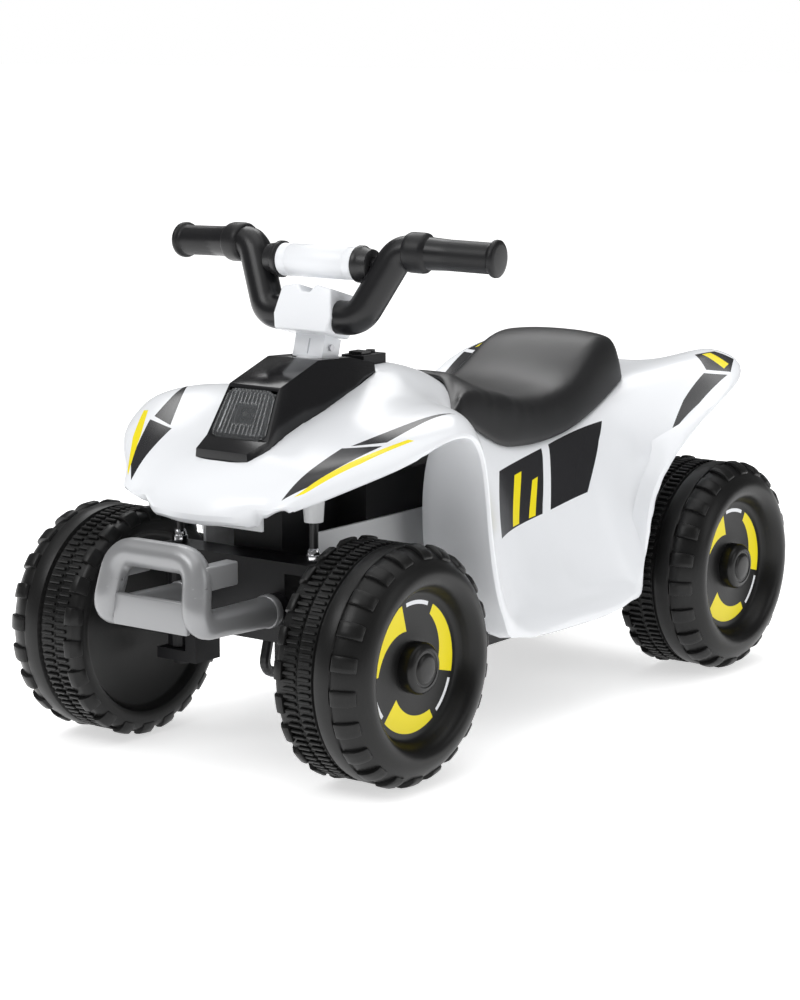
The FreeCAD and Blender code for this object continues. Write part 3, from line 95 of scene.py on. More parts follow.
def alone(piece):
    """Makes one piece the only selected and the active one."""
    bpy.ops.object.select_all(action="DESELECT")
    piece.select_set(True)
    bpy.context.view_layer.objects.active = piece
    return piece


def edit_all(piece):
    """Opens a piece for editing with everything selected."""
    alone(piece)
    bpy.ops.object.mode_set(mode="EDIT")
    bpy.ops.mesh.select_all(action="SELECT")


def close_edit():
    bpy.ops.object.mode_set(mode="OBJECT")


def merged_copy(node, name):
    """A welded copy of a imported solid, as a start for a finer form."""
    piece = bpy.data.objects.new(name, frame["nodes"][node].data.copy())
    bpy.context.scene.collection.objects.link(piece)
    piece.data.materials.clear()
    edit_all(piece)
    bpy.ops.mesh.remove_doubles(threshold=0.00002)
    bpy.ops.mesh.dissolve_limited(angle_limit=math.radians(0.3))
    bpy.ops.mesh.select_all(action="SELECT")
    bpy.ops.mesh.tris_convert_to_quads(
        face_threshold=math.radians(50), shape_threshold=math.radians(70))
    close_edit()
    return piece


def finish_with(piece, kind, **settings):
    """Adds one modifier and applies it."""
    alone(piece)
    modifier = piece.modifiers.new(kind.lower(), kind)
    for setting, value in settings.items():
        setattr(modifier, setting, value)
    bpy.ops.object.modifier_apply(modifier=modifier.name)


def round_edges(piece, width, segments, degrees):
    """Rounds every edge that is sharper than an angle."""
    finish_with(piece, "BEVEL", width=width, segments=segments, limit_method="ANGLE",
                angle_limit=math.radians(degrees))


def smooth(piece, degrees=40):
    """Shades a piece smoothly, except over edges sharper than an angle."""
    alone(piece)
    bpy.ops.object.shade_smooth_by_angle(angle=math.radians(degrees))


def crease_sharp(piece, degrees, amount):
    """Marks the edges sharper than an angle so that subdivision keeps them."""
    alone(piece)
    bpy.ops.object.mode_set(mode="EDIT")
    bpy.ops.mesh.select_mode(type="EDGE")
    bpy.ops.mesh.select_all(action="DESELECT")
    bpy.ops.mesh.edges_select_sharp(sharpness=math.radians(degrees))
    bpy.ops.transform.edge_crease(value=amount)
    close_edit()


def grain_group():
    """Moulded grain: a fine bump and a slow drift of roughness over the surface."""
    group = bpy.data.node_groups.new("moulded_grain", "ShaderNodeTree")
    defaults = {"Grain size": 900.0, "Grain depth": 0.1, "Roughness": 0.3, "Drift": 0.06}
    for name, default in defaults.items():
        socket = group.interface.new_socket(name, in_out="INPUT", socket_type="NodeSocketFloat")
        socket.default_value = default
    group.interface.new_socket("Roughness", in_out="OUTPUT", socket_type="NodeSocketFloat")
    group.interface.new_socket("Normal", in_out="OUTPUT", socket_type="NodeSocketVector")
    nodes, links = group.nodes, group.links
    given = nodes.new("NodeGroupInput")
    result = nodes.new("NodeGroupOutput")
    place = nodes.new("ShaderNodeTexCoord")
    fine = nodes.new("ShaderNodeTexNoise")
    fine.inputs["Detail"].default_value = 3
    slow = nodes.new("ShaderNodeTexNoise")
    slow.inputs["Scale"].default_value = 14
    links.new(place.outputs["Object"], fine.inputs["Vector"])
    links.new(place.outputs["Object"], slow.inputs["Vector"])
    links.new(given.outputs["Grain size"], fine.inputs["Scale"])
    bump = nodes.new("ShaderNodeBump")
    bump.inputs["Distance"].default_value = 0.0004
    links.new(fine.outputs["Fac"], bump.inputs["Height"])
    links.new(given.outputs["Grain depth"], bump.inputs["Strength"])
    centred = nodes.new("ShaderNodeMath")
    centred.operation = "SUBTRACT"
    centred.inputs[1].default_value = 0.5
    links.new(slow.outputs["Fac"], centred.inputs[0])
    drifted = nodes.new("ShaderNodeMath")
    drifted.operation = "MULTIPLY_ADD"
    links.new(centred.outputs[0], drifted.inputs[0])
    links.new(given.outputs["Drift"], drifted.inputs[1])
    links.new(given.outputs["Roughness"], drifted.inputs[2])
    links.new(drifted.outputs[0], result.inputs["Roughness"])
    links.new(bump.outputs["Normal"], result.inputs["Normal"])
    return group


moulded_grain = grain_group()


def moulded(name, colour, roughness, grain_size=900, grain_depth=0.1, drift=0.06,
            metallic=0.0, shine=0.5):
    """A moulded or painted finish of one colour with its own grain."""
    material = bpy.data.materials.new(name)
    material.use_nodes = True
    tree = material.node_tree
    shader = tree.nodes["Principled BSDF"]
    shader.inputs["Base Color"].default_value = (*colour, 1)
    shader.inputs["Metallic"].default_value = metallic
    shader.inputs["Specular IOR Level"].default_value = shine
    grain = tree.nodes.new("ShaderNodeGroup")
    grain.node_tree = moulded_grain
    grain.inputs["Grain size"].default_value = grain_size
    grain.inputs["Grain depth"].default_value = grain_depth
    grain.inputs["Roughness"].default_value = roughness
    grain.inputs["Drift"].default_value = drift
    tree.links.new(grain.outputs["Roughness"], shader.inputs["Roughness"])
    tree.links.new(grain.outputs["Normal"], shader.inputs["Normal"])
    return material


def calculated(tree, operation, first, second, third=None):
    """One arithmetic node; each term is a number or a socket."""
    node = tree.nodes.new("ShaderNodeMath")
    node.operation = operation
    for slot, term in enumerate((first, second, third)):
        if term is None:
            continue
        if isinstance(term, (int, float)):
            node.inputs[slot].default_value = term
        else:
            tree.links.new(term, node.inputs[slot])
    return node.outputs[0]


def patch_mask(tree, across, up, corners):
    """One inside a convex patch given by its corners in metres, zero outside."""
    area = sum(a[0] * b[1] - b[0] * a[1] for a, b in zip(corners, corners[1:] + corners[:1]))
    ordered = corners if area > 0 else corners[::-1]
    mask = None
    for (x0, y0), (x1, y1) in zip(ordered, ordered[1:] + ordered[:1]):
        slope, rise = y0 - y1, x1 - x0
        offset = -(slope * x0 + rise * y0)
        run = calculated(tree, "MULTIPLY_ADD", across, slope, offset)
        level = calculated(tree, "MULTIPLY_ADD", up, rise, run)
        side = calculated(tree, "GREATER_THAN", level, 0)
        mask = side if mask is None else calculated(tree, "MULTIPLY", mask, side)
    return mask


def joined_masks(tree, masks):
    """One where any of the masks is one."""
    total = masks[0]
    for mask in masks[1:]:
        total = calculated(tree, "MAXIMUM", total, mask)
    return total


def patches(tree, across, up, outlines):
    """One inside any of several convex patches, zero outside them."""
    return joined_masks(tree, [patch_mask(tree, across, up, outline) for outline in outlines])


def painted_over(material, ground, layers):
    """Lays each paint over the ground colour where its mask is one, the last one on top."""
    tree = material.node_tree
    colour = None
    for mask, paint in layers:
        mix = tree.nodes.new("ShaderNodeMix")
        mix.data_type = "RGBA"
        mix.inputs["A"].default_value = (*ground, 1)
        mix.inputs["B"].default_value = (*paint, 1)
        tree.links.new(mask, mix.inputs["Factor"])
        if colour is not None:
            tree.links.new(colour, mix.inputs["A"])
        colour = mix.outputs["Result"]
    tree.links.new(colour, tree.nodes["Principled BSDF"].inputs["Base Color"])


def body_paint():
    """White gloss with grey and yellow stripes on the outer skin, the same left and right."""
    material = moulded(
        "body_white_striped", WHITE, roughness=0.22, grain_size=500, grain_depth=0.05)
    tree = material.node_tree
    place = tree.nodes.new("ShaderNodeTexCoord")
    spot = tree.nodes.new("ShaderNodeSeparateXYZ")
    facing = tree.nodes.new("ShaderNodeSeparateXYZ")
    tree.links.new(place.outputs["Object"], spot.inputs[0])
    tree.links.new(place.outputs["Normal"], facing.inputs[0])
    x, y, z = spot.outputs
    half = calculated(tree, "ABSOLUTE", x, None)
    height = calculated(tree, "SUBTRACT", z, SKIN_MIDDLE)
    lift = calculated(tree, "MULTIPLY", height, facing.outputs["Z"])
    outwards = calculated(tree, "MULTIPLY_ADD", x, facing.outputs["X"], lift)
    outside = calculated(tree, "GREATER_THAN", outwards, 0)
    above_wing = calculated(tree, "GREATER_THAN", z, WING_STRIPE_FOOT)
    off_middle = calculated(tree, "GREATER_THAN", half, FLANK_STRIPE_FROM)
    on_wing = calculated(tree, "MULTIPLY", outside, above_wing)
    on_flank = calculated(tree, "MULTIPLY", outside, off_middle)
    layers = []
    for paint, wing, tail, flank in (
            (STRIPE_GREY, WING_GREY, TAIL_GREY, FLANK_GREY),
            (STRIPE_YELLOW, WING_YELLOW, TAIL_YELLOW, FLANK_YELLOW)):
        wings = joined_masks(tree, [patches(tree, half, y, wing), patches(tree, y, half, tail)])
        flanks = patches(tree, y, z, flank)
        layers.append((joined_masks(tree, [
            calculated(tree, "MULTIPLY", on_wing, wings),
            calculated(tree, "MULTIPLY", on_flank, flanks)]), paint))
    painted_over(material, WHITE, layers)
    return material


def share_of(value):
    """A share, held between nought and one."""
    return min(1, max(0, value))


def squared_corner(piece, centre, reach):
    """Draws a rounded lower corner of both flanks out towards a square one, seen from the side."""
    for corner in piece.data.vertices:
        across = (corner.co.y - centre[0]) / reach[0]
        down = (centre[1] - corner.co.z) / reach[1]
        if abs(corner.co.x) < FLANK_INNER or across <= 0 or down <= 0:
            continue
        radius = math.hypot(across, down)
        square = (across ** CORNER_POWER + down ** CORNER_POWER) ** (1 / CORNER_POWER)
        share = share_of((radius - CORNER_START) / CORNER_BLEND)
        share *= share_of((abs(corner.co.x) - FLANK_INNER) / FLANK_BLEND)
        scale = 1 + (min(radius, 1.0) / square - 1) * share if radius > square else 1
        corner.co.y = centre[0] + across * reach[0] * scale
        corner.co.z = centre[1] - down * reach[1] * scale
    piece.data.update()


def nose_corners(piece):
    """Draws the ends of the nose lip down to two small square corners beside the wings."""
    for corner in piece.data.vertices:
        off = abs(corner.co.x)
        if corner.co.y > NOSE_BACK or corner.co.z > NOSE_TOP or off > NOSE_HALF:
            continue
        inward = share_of((off - NOSE_FLAT) / NOSE_FLAT)
        outward = share_of((NOSE_HALF - off) / NOSE_EDGE)
        low = share_of((NOSE_TOP - corner.co.z) / NOSE_FADE)
        corner.co.z -= NOSE_DROP * inward * inward * outward * low
    piece.data.update()


def eased_flank(piece):
    """Eases the back of each flank from the knee recess to the edge before the rear wheel."""
    alone(piece)
    for corner in piece.data.vertices:
        spot = (abs(corner.co.x), corner.co.y, corner.co.z)
        limits = zip(KNEE_LOW, spot, KNEE_HIGH)
        corner.select = all(low < value < high for low, value, high in limits)
    bpy.ops.object.mode_set(mode="EDIT")
    bpy.ops.mesh.select_mode(type="VERT")
    bpy.ops.mesh.vertices_smooth(factor=0.5, repeat=KNEE_PASSES)
    close_edit()


body = merged_copy("body_shell", "body_skin")
crease_sharp(body, 30, 1.0)
finish_with(body, "SUBSURF", levels=2, render_levels=2)
squared_corner(body, *BACK_CORNER)
squared_corner(body, *FRONT_CORNER)
nose_corners(body)
eased_flank(body)
round_edges(body, 0.0022, 3, 35)
smooth(body, 50)
body.data.materials.append(body_paint())
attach(body, "base")
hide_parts("body_shell")

# Saddle.
# A hollow plastic moulding with a soft matt surface, pressed onto the body.
# It dips in the middle and swells to a rounded hump behind.

EAR_DROP = 0.009
EAR_BACK = 0.06
EAR_BLEND = 0.05
EAR_INNER = 0.02
EAR_WIDTH = 0.045
EAR_HEIGHT = 0.024
FOOT_HEIGHT = 0.263
FOOT_HALF = 0.08
FOOT_FALL_BACK = 0.5
FOOT_FALL_OUT = 0.9


def eased(share):
    """A share with a soft start and end."""
    return share * share * (3 - 2 * share)


def foot_height(off, y):
    """The height of the saddle's foot beside the tank, where it rests on the body."""
    return FOOT_HEIGHT - FOOT_FALL_BACK * y + FOOT_FALL_OUT * (FOOT_HALF - off)


def crowned_front(piece):
    """Rounds the saddle's front down from its middle to the ears by the tank; its foot stays."""
    for corner in piece.data.vertices:
        off, y = abs(corner.co.x), corner.co.y
        if y > EAR_BACK:
            continue
        back = eased(share_of((EAR_BACK - y) / EAR_BLEND))
        side = eased(share_of((off - EAR_INNER) / EAR_WIDTH))
        height = share_of((corner.co.z - foot_height(off, y)) / EAR_HEIGHT)
        corner.co.z -= EAR_DROP * back * side * height
    piece.data.update()


seat = merged_copy("seat", "saddle")
crease_sharp(seat, 75, 0.4)
finish_with(seat, "SUBSURF", levels=2, render_levels=2)
crowned_front(seat)
smooth(seat, 60)
seat.data.materials.append(moulded(
    "saddle_matt_black", (0.012, 0.012, 0.013),
    roughness=0.38, grain_size=1500, grain_depth=0.3, drift=0.08))
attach(seat, "base")
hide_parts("seat")

# Headlight cowl.
# A gloss black moulding clipped into the hood; its edges are well rounded.

cowl = merged_copy("cowl", "cowl_skin")
round_edges(cowl, 0.0032, 4, 24)
smooth(cowl, 40)
cowl.data.materials.append(moulded(
    "cowl_gloss_black", (0.008, 0.008, 0.009),
    roughness=0.14, grain_size=600, grain_depth=0.04, drift=0.04))
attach(cowl, "base")
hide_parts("cowl")

# Headlight.
# A clear moulded lens with upright ribs on its face, let into the cowl.
# Behind it lie a silvered dish, a small frame and two lamps on a board.

LENS_CENTRE = Vector((0, -0.2556, 0.3094))
LENS_TILT = math.radians(60.4)
LENS_TOP = 0.0535
LENS_FOOT = 0.0630
LENS_HEIGHT = 0.0475
LENS_WALL = 0.0026
LENS_LIFT = 0.0012
LENS_ROUND = 0.10
LENS_ROUND_FROM = 0.36
RIB_COUNT = 13
RIB_DEPTH = 0.0013
RIB_MARGIN = (0.04, 0.06)
WINDOW_HALF = 0.205
WINDOW_RIDGE = 0.3
LAMP_FRAME_SIZE = (0.0245, 0.0195, 1)
LAMP_FRAME_BAR = 0.0016
LAMP_FRAME_DEPTH = 0.004
LAMP_FRAME_PLACE = -0.0062


def on_lamp(piece, depth):
    """Turns a piece made flat about the origin onto the sloping lamp, at a depth in it."""
    turn = Matrix.Rotation(LENS_TILT, 4, "X")
    piece.data.transform(Matrix.Translation(LENS_CENTRE) @ turn @ Matrix.Translation((0, 0, depth)))
    piece.data.update()


def towards_corner(across):
    """How far a point lies in the outer part of the lens that is drawn in to round its corners."""
    return max(0, abs(across) - LENS_ROUND_FROM) / (0.5 - LENS_ROUND_FROM)


bpy.ops.object.select_all(action="DESELECT")
bpy.ops.mesh.primitive_grid_add(x_subdivisions=RIB_COUNT * 8, y_subdivisions=40, size=1)
lens = bpy.context.object
lens.name = "ribbed_lens"
for corner in lens.data.vertices:
    across, up, _ = corner.co
    window = abs(across) < WINDOW_HALF and abs(up) < WINDOW_HALF
    ridge = WINDOW_RIDGE if window else abs(math.sin(math.pi * RIB_COUNT * (across + 0.5)))
    margin = min((0.5 - abs(across)) / RIB_MARGIN[0], (0.5 - abs(up)) / RIB_MARGIN[1])
    width = LENS_FOOT + (LENS_TOP - LENS_FOOT) * (up + 0.5)
    pull = 1 - LENS_ROUND * towards_corner(up) * towards_corner(across)
    rise = RIB_DEPTH * ridge * share_of(margin) + LENS_LIFT
    corner.co = (across * width * pull, up * LENS_HEIGHT * pull, rise)
finish_with(lens, "SOLIDIFY", thickness=LENS_WALL, offset=-1)
on_lamp(lens, 0.0)
smooth(lens, 30)
lens_clear = moulded(
    "lens_clear", (0.30, 0.31, 0.32), roughness=0.12, grain_size=60, grain_depth=0.01, drift=0.03)
lens_clear.node_tree.nodes["Principled BSDF"].inputs["Transmission Weight"].default_value = 0.85
lens_clear.node_tree.nodes["Principled BSDF"].inputs["IOR"].default_value = 1.46
lens.data.materials.append(lens_clear)
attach(lens, "base")
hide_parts("headlight_lens")

bpy.ops.object.select_all(action="DESELECT")
bpy.ops.mesh.primitive_plane_add(size=1)
lamp_frame = bpy.context.object
lamp_frame.name = "lamp_frame"
edit_all(lamp_frame)
bpy.ops.transform.resize(value=LAMP_FRAME_SIZE)
bpy.ops.mesh.inset(thickness=LAMP_FRAME_BAR)
bpy.ops.mesh.delete(type="FACE")
bpy.ops.mesh.select_all(action="SELECT")
bpy.ops.mesh.extrude_region_move(TRANSFORM_OT_translate={"value": (0, 0, LAMP_FRAME_DEPTH)})
bpy.ops.mesh.select_all(action="SELECT")
bpy.ops.mesh.normals_make_consistent()
close_edit()
finish_with(lamp_frame, "BEVEL", width=0.0005, segments=2)
on_lamp(lamp_frame, LAMP_FRAME_PLACE)
lamp_frame.data.materials.append(moulded(
    "lamp_frame_pale", (0.62, 0.63, 0.64), roughness=0.3, grain_size=900, grain_depth=0.05))
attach(lamp_frame, "base")

# Steering neck and clamp block.
# Two white mouldings: the neck keys onto the steering rod, the block grips the bar.

neck_white = moulded("neck_white", WHITE, roughness=0.26, grain_size=700, grain_depth=0.06)
for node, name, round_off in (
        ("steering_neck", "neck_skin", 0.0022), ("clamp_block", "clamp_skin", 0.0042)):
    piece = merged_copy(node, name)
    round_edges(piece, round_off, 4, 30)
    smooth(piece, 40)
    piece.data.materials.append(neck_white)
    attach(piece, "steering")
    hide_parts(node)

# Handlebar.
# One bent black tube with a thinner straight crossbar moulded between its arms.

BAR_RADIUS = 0.0154
BAR_END_SHARE = 0.74
BAR_REACH = 0.026
CROSS_FOOT = Vector((0, -0.146, 0.437))
CROSS_HALF = Vector((0.078, 0, 0))
CROSS_RADIUS = 0.0068
BAR_CORNERS = ((0.052, -0.1575, 0.389), (0.084, -0.140, 0.450), (0.179, -0.1261, 0.4471))


def bent_tube(name, corners, reach, radius, end_share=1.0):
    """A round tube bent at corner points, each eased over a reach; its ends can differ in girth."""
    curve = bpy.data.curves.new(name, "CURVE")
    curve.dimensions = "3D"
    curve.bevel_depth = radius
    curve.bevel_resolution = 7
    curve.use_fill_caps = True
    corners = [Vector(corner) for corner in corners]
    line = [corners[0]]
    for before, corner, after in zip(corners, corners[1:], corners[2:]):
        line.append(corner + (before - corner).normalized() * reach)
        line.append(corner)
        line.append(corner + (after - corner).normalized() * reach)
    line.append(corners[-1])
    spline = curve.splines.new("NURBS")
    spline.points.add(len(line) - 1)
    for point, place in zip(spline.points, line):
        point.co = (*place, 1)
    for end in (spline.points[0], spline.points[-1]):
        end.radius = end_share
    spline.order_u = 3
    spline.use_endpoint_u = True
    spline.resolution_u = 10
    tube = bpy.data.objects.new(name, curve)
    bpy.context.scene.collection.objects.link(tube)
    alone(tube)
    bpy.ops.object.convert(target="MESH")
    return bpy.context.object


def mirrored(corners):
    """The corners of a left half with their mirror images before them, right to left."""
    return [(-x, y, z) for x, y, z in reversed(corners)] + list(corners)


def joined(name, pieces):
    """Joins loose pieces into one with a name of its own."""
    bpy.ops.object.select_all(action="DESELECT")
    for piece in pieces:
        piece.select_set(True)
    bpy.context.view_layer.objects.active = pieces[0]
    bpy.ops.object.join()
    whole = bpy.context.object
    whole.name = name
    return whole


bar_tube = bent_tube("bar_tube", mirrored(BAR_CORNERS), BAR_REACH, BAR_RADIUS, BAR_END_SHARE)
cross_ends = (CROSS_FOOT - CROSS_HALF, CROSS_FOOT + CROSS_HALF)
cross_tube = bent_tube("cross_tube", cross_ends, 0, CROSS_RADIUS)
handlebar = joined("handlebar_tube", [bar_tube, cross_tube])
smooth(handlebar, 50)
handlebar.data.materials.append(moulded(
    "bar_black", (0.008, 0.008, 0.009), roughness=0.3, grain_size=900, grain_depth=0.08, shine=0.4))
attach(handlebar, "steering")
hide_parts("handlebar")

# Grips.
# Black rubber sleeves: a bulky collar inboard, fine rings along the sleeve and an end flange.

GRIP_PROFILE = (
    (0.0, 0.0118), (0.0, 0.0150), (0.0012, 0.0168), (0.0035, 0.0180), (0.006, 0.0183),
    (0.017, 0.0183), (0.0195, 0.0178), (0.0215, 0.0160), (0.0235, 0.0142), (0.026, 0.0138),
)
GRIP_END = (
    (0.0835, 0.0138), (0.0848, 0.0150), (0.0858, 0.0164), (0.0875, 0.0169), (0.0900, 0.0166),
    (0.0913, 0.0152), (0.0918, 0.0120), (0.0920, 0.0),
)
GRIP_RINGS = 26
GRIP_RING_SPAN = (0.028, 0.082)
GRIP_RING_RADII = (0.0136, 0.0140)
GRIP_OUT = 0.180
GRIP_LENGTH = 0.0888


def turned(name, profile, heading, foot, steps=48):
    """A turned piece: a profile of (distance along, radius) spun about a line from a foot point."""
    bpy.ops.object.select_all(action="DESELECT")
    mesh = bpy.data.meshes.new(name)
    points = [(radius, 0, along) for along, radius in profile]
    mesh.from_pydata(points, [(i, i + 1) for i in range(len(points) - 1)], [])
    piece = bpy.data.objects.new(name, mesh)
    bpy.context.scene.collection.objects.link(piece)
    edit_all(piece)
    bpy.ops.mesh.spin(steps=steps, angle=2 * math.pi, center=(0, 0, 0), axis=(0, 0, 1))
    bpy.ops.mesh.select_all(action="SELECT")
    bpy.ops.mesh.remove_doubles(threshold=0.00001)
    bpy.ops.mesh.normals_make_consistent()
    close_edit()
    turn = Vector((0, 0, 1)).rotation_difference(Vector(heading)).to_matrix().to_4x4()
    piece.data.transform(Matrix.Translation(foot) @ turn)
    return piece


grip_rubber = moulded(
    "grip_rubber", (0.008, 0.008, 0.009),
    roughness=0.4, grain_size=1600, grain_depth=0.25, drift=0.08, shine=0.35)
ring_profile = []
for ring in range(GRIP_RINGS * 2 + 1):
    span = GRIP_RING_SPAN[1] - GRIP_RING_SPAN[0]
    step = GRIP_RING_SPAN[0] + ring * span / (GRIP_RINGS * 2)
    ring_profile.append((step, GRIP_RING_RADII[ring % 2]))
grip_profile = GRIP_PROFILE + tuple(ring_profile) + GRIP_END
for name, side in (("left", 1), ("right", -1)):
    inner, outer = Vector(BAR_CORNERS[1]), Vector(BAR_CORNERS[2])
    heading = (outer - inner).normalized()
    outer = inner + heading * ((GRIP_OUT - inner.x) / heading.x)
    foot = outer - heading * GRIP_LENGTH
    heading.x *= side
    foot.x *= side
    grip = turned("grip_sleeve_" + name, grip_profile, heading, foot, 56)
    smooth(grip, 50)
    grip.data.materials.append(grip_rubber)
    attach(grip, "steering")
    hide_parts("grip_" + name)

# Crossbar pad.
# A white tubular pad round the crossbar, closed by a black flanged collar at each end.

PAD_HALF = 0.0435
PAD_RADIUS = 0.015
PAD_BORE = 0.007
pad_end = (
    (PAD_HALF - 0.0112, PAD_RADIUS), (PAD_HALF - 0.0106, PAD_RADIUS - 0.0005),
    (PAD_HALF - 0.010, PAD_RADIUS), (PAD_HALF - 0.0012, PAD_RADIUS),
    (PAD_HALF, PAD_RADIUS - 0.0012), (PAD_HALF, PAD_BORE),
)
pad_profile = tuple((-along, radius) for along, radius in reversed(pad_end)) + pad_end
pad = turned("pad_sleeve", pad_profile, (1, 0, 0), CROSS_FOOT)
smooth(pad, 40)
pad.data.materials.append(moulded(
    "pad_white", WHITE, roughness=0.34, grain_size=1400, grain_depth=0.2))
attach(pad, "steering")
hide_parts("crossbar_pad")
collar_profile = (
    (0, PAD_BORE), (0, 0.0160), (0.0008, 0.0169), (0.0042, 0.0169), (0.0056, 0.0160),
    (0.0075, 0.0150), (0.0150, 0.0138), (0.0165, 0.0120), (0.0165, PAD_BORE),
)
collar_pair = []
for side in (1, -1):
    end = CROSS_FOOT + Vector((side * PAD_HALF, 0, 0))
    collar_pair.append(turned("pad_flange", collar_profile, (side, 0, 0), end))
collars = joined("pad_flanges", collar_pair)
smooth(collars, 40)
collars.data.materials.append(moulded(
    "flange_black", (0.013, 0.013, 0.014), roughness=0.35, grain_size=1000, grain_depth=0.1))
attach(collars, "steering")
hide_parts("pad_collars")

# Wheels.
# Hollow blow-moulded black wheels: lugs on both shoulders, two rows of fine bars on the tread,
# and a dished face. They run on plain axles.

WHEEL_BLACK = (0.007, 0.007, 0.007)
WHEEL_RADIUS = 0.1075
HALF_TRACK = 0.1575
FRONT_AXLE = -0.257
REAR_AXLE = 0.2875
WHEEL_PLACES = (
    ("front_left", HALF_TRACK, FRONT_AXLE), ("front_right", -HALF_TRACK, FRONT_AXLE),
    ("rear_left", HALF_TRACK, REAR_AXLE), ("rear_right", -HALF_TRACK, REAR_AXLE),
)
LUGS = 22
LUG_SHARE = 0.47
LUG_DEPTH = (0.004, 0.0070)
INNER_LUG_ANGLE = 0.152
BARS = 96
BAR_ROWS = (-0.0262, -0.0105)
BAR_HALF = Vector((0.0063, 0.0016, 0.0022))
BAR_HEIGHT = 0.1022
inner_profile = (
    (-0.036, 0.0056), (-0.036, 0.078), (-0.038, 0.081), (-0.0435, 0.084), (-0.0452, 0.088),
    (-0.0452, 0.094), (-0.0435, 0.0985), (-0.0405, 0.1012), (-0.038, 0.1018), (-0.0205, 0.1018),
    (-0.0192, 0.1005), (-0.0178, 0.1018), (-0.0032, 0.1018), (-0.0022, 0.1002), (-0.0004, 0.1002),
)
tread_band = (
    (0.0004, 0.1018), (0.0012, 0.1036), (0.0036, 0.1044), (0.0150, 0.1046), (0.0166, 0.1040),
    (0.0174, 0.1026),
)
shoulder_base = (
    (0.0186, 0.1028), (0.0230, 0.1026), (0.0280, 0.1010), (0.0335, 0.0980), (0.0385, 0.0944),
    (0.0422, 0.0904),
)
shoulder_line = (
    (0.0192, 0.1060), (0.0245, 0.1060), (0.0300, 0.1044), (0.0345, 0.1018), (0.0378, 0.0988),
    (0.0394, 0.0958),
)
side_profile = (
    (0.0446, 0.0860), (0.0455, 0.0826), (0.0456, 0.0794), (0.0450, 0.0764), (0.0436, 0.0735),
    (0.0410, 0.0710), (0.0372, 0.0690), (0.0328, 0.0674), (0.0298, 0.0660), (0.0284, 0.0648),
    (0.0279, 0.0638),
)
inner_lug_line = (
    (-0.0325, 0.1010), (-0.0325, 0.1060), (-0.0350, 0.1066), (-0.0400, 0.1058), (-0.0440, 0.1010),
    (-0.0456, 0.0955), (-0.0440, 0.0930), (-0.0400, 0.0980),
)


def spun_ring(piece, count, start):
    """Copies an edited piece round the wheel's axle, the first one turned by a start angle."""
    edit_all(piece)
    bpy.ops.mesh.spin(steps=count, dupli=True, angle=2 * math.pi, center=(0, 0, 0), axis=(1, 0, 0))
    bpy.ops.mesh.select_all(action="SELECT")
    bpy.ops.mesh.remove_doubles(threshold=0.000001)
    close_edit()
    piece.data.transform(Matrix.Rotation(start, 4, "X"))
    return piece


def plate_about_axle(name, corners, angle, steps):
    """A closed outline of (along the axle, radius) swept through a short angle about the axle."""
    mesh = bpy.data.meshes.new(name)
    mesh.from_pydata([(x, 0, r) for x, r in corners], [], [tuple(range(len(corners)))])
    piece = bpy.data.objects.new(name, mesh)
    bpy.context.scene.collection.objects.link(piece)
    edit_all(piece)
    bpy.ops.mesh.spin(steps=steps, angle=angle, center=(0, 0, 0), axis=(1, 0, 0))
    bpy.ops.mesh.select_all(action="SELECT")
    bpy.ops.mesh.remove_doubles(threshold=0.000005)
    bpy.ops.mesh.normals_make_consistent()
    close_edit()
    return piece


def shoulder_block():
    """One lug of the outer shoulder, following its curve and standing proud of the gaps."""
    foot = [(x - LUG_DEPTH[0], r - LUG_DEPTH[1]) for x, r in reversed(shoulder_line)]
    pitch = 2 * math.pi / LUGS
    piece = plate_about_axle("shoulder_block", list(shoulder_line) + foot, pitch * LUG_SHARE, 3)
    round_edges(piece, 0.0011, 2, 40)
    return piece


def inner_lug():
    """A small lug on the inner edge of the tread."""
    piece = plate_about_axle("inner_lug", inner_lug_line, INNER_LUG_ANGLE, 2)
    round_edges(piece, 0.0009, 2, 40)
    return piece


def rounded_block(name, low, high, round_off, segments=3):
    """A block between two corners with rounded edges."""
    bpy.ops.object.select_all(action="DESELECT")
    bpy.ops.mesh.primitive_cube_add(size=1)
    piece = bpy.context.object
    piece.name = name
    low, high = Vector(low), Vector(high)
    edit_all(piece)
    bpy.ops.transform.resize(value=tuple(high - low))
    bpy.ops.transform.translate(value=tuple((low + high) / 2))
    close_edit()
    finish_with(piece, "BEVEL", width=round_off, segments=segments)
    return piece


def tread_bar(along):
    """One fine bar of the tread, across its row."""
    middle = Vector((along, 0, BAR_HEIGHT))
    return rounded_block("tread_bar", middle - BAR_HALF, middle + BAR_HALF, 0.0008, 1)


def wheel_shape():
    """The wheel about its own centre, its dished face towards +X."""
    half_pitch = math.pi / LUGS
    profile = inner_profile + tread_band + shoulder_base + side_profile
    rings = [turned("tyre", profile, (1, 0, 0), (0, 0, 0), 96)]
    rings.append(spun_ring(shoulder_block(), LUGS, 0))
    rings.append(spun_ring(inner_lug(), LUGS, half_pitch))
    rings.append(spun_ring(tread_bar(BAR_ROWS[0]), BARS, 0))
    rings.append(spun_ring(tread_bar(BAR_ROWS[1]), BARS, math.pi / BARS))
    return joined("wheel_shape", rings)


def set_down(shape, name, x, y):
    """A copy of a shape made about the origin, set on a wheel's centre with its face outwards."""
    piece = bpy.data.objects.new(name, shape.data.copy())
    bpy.context.scene.collection.objects.link(piece)
    turn = Matrix.Rotation(math.pi if x < 0 else 0, 4, "Z")
    piece.data.transform(Matrix.Translation((x, y, WHEEL_RADIUS)) @ turn)
    return piece


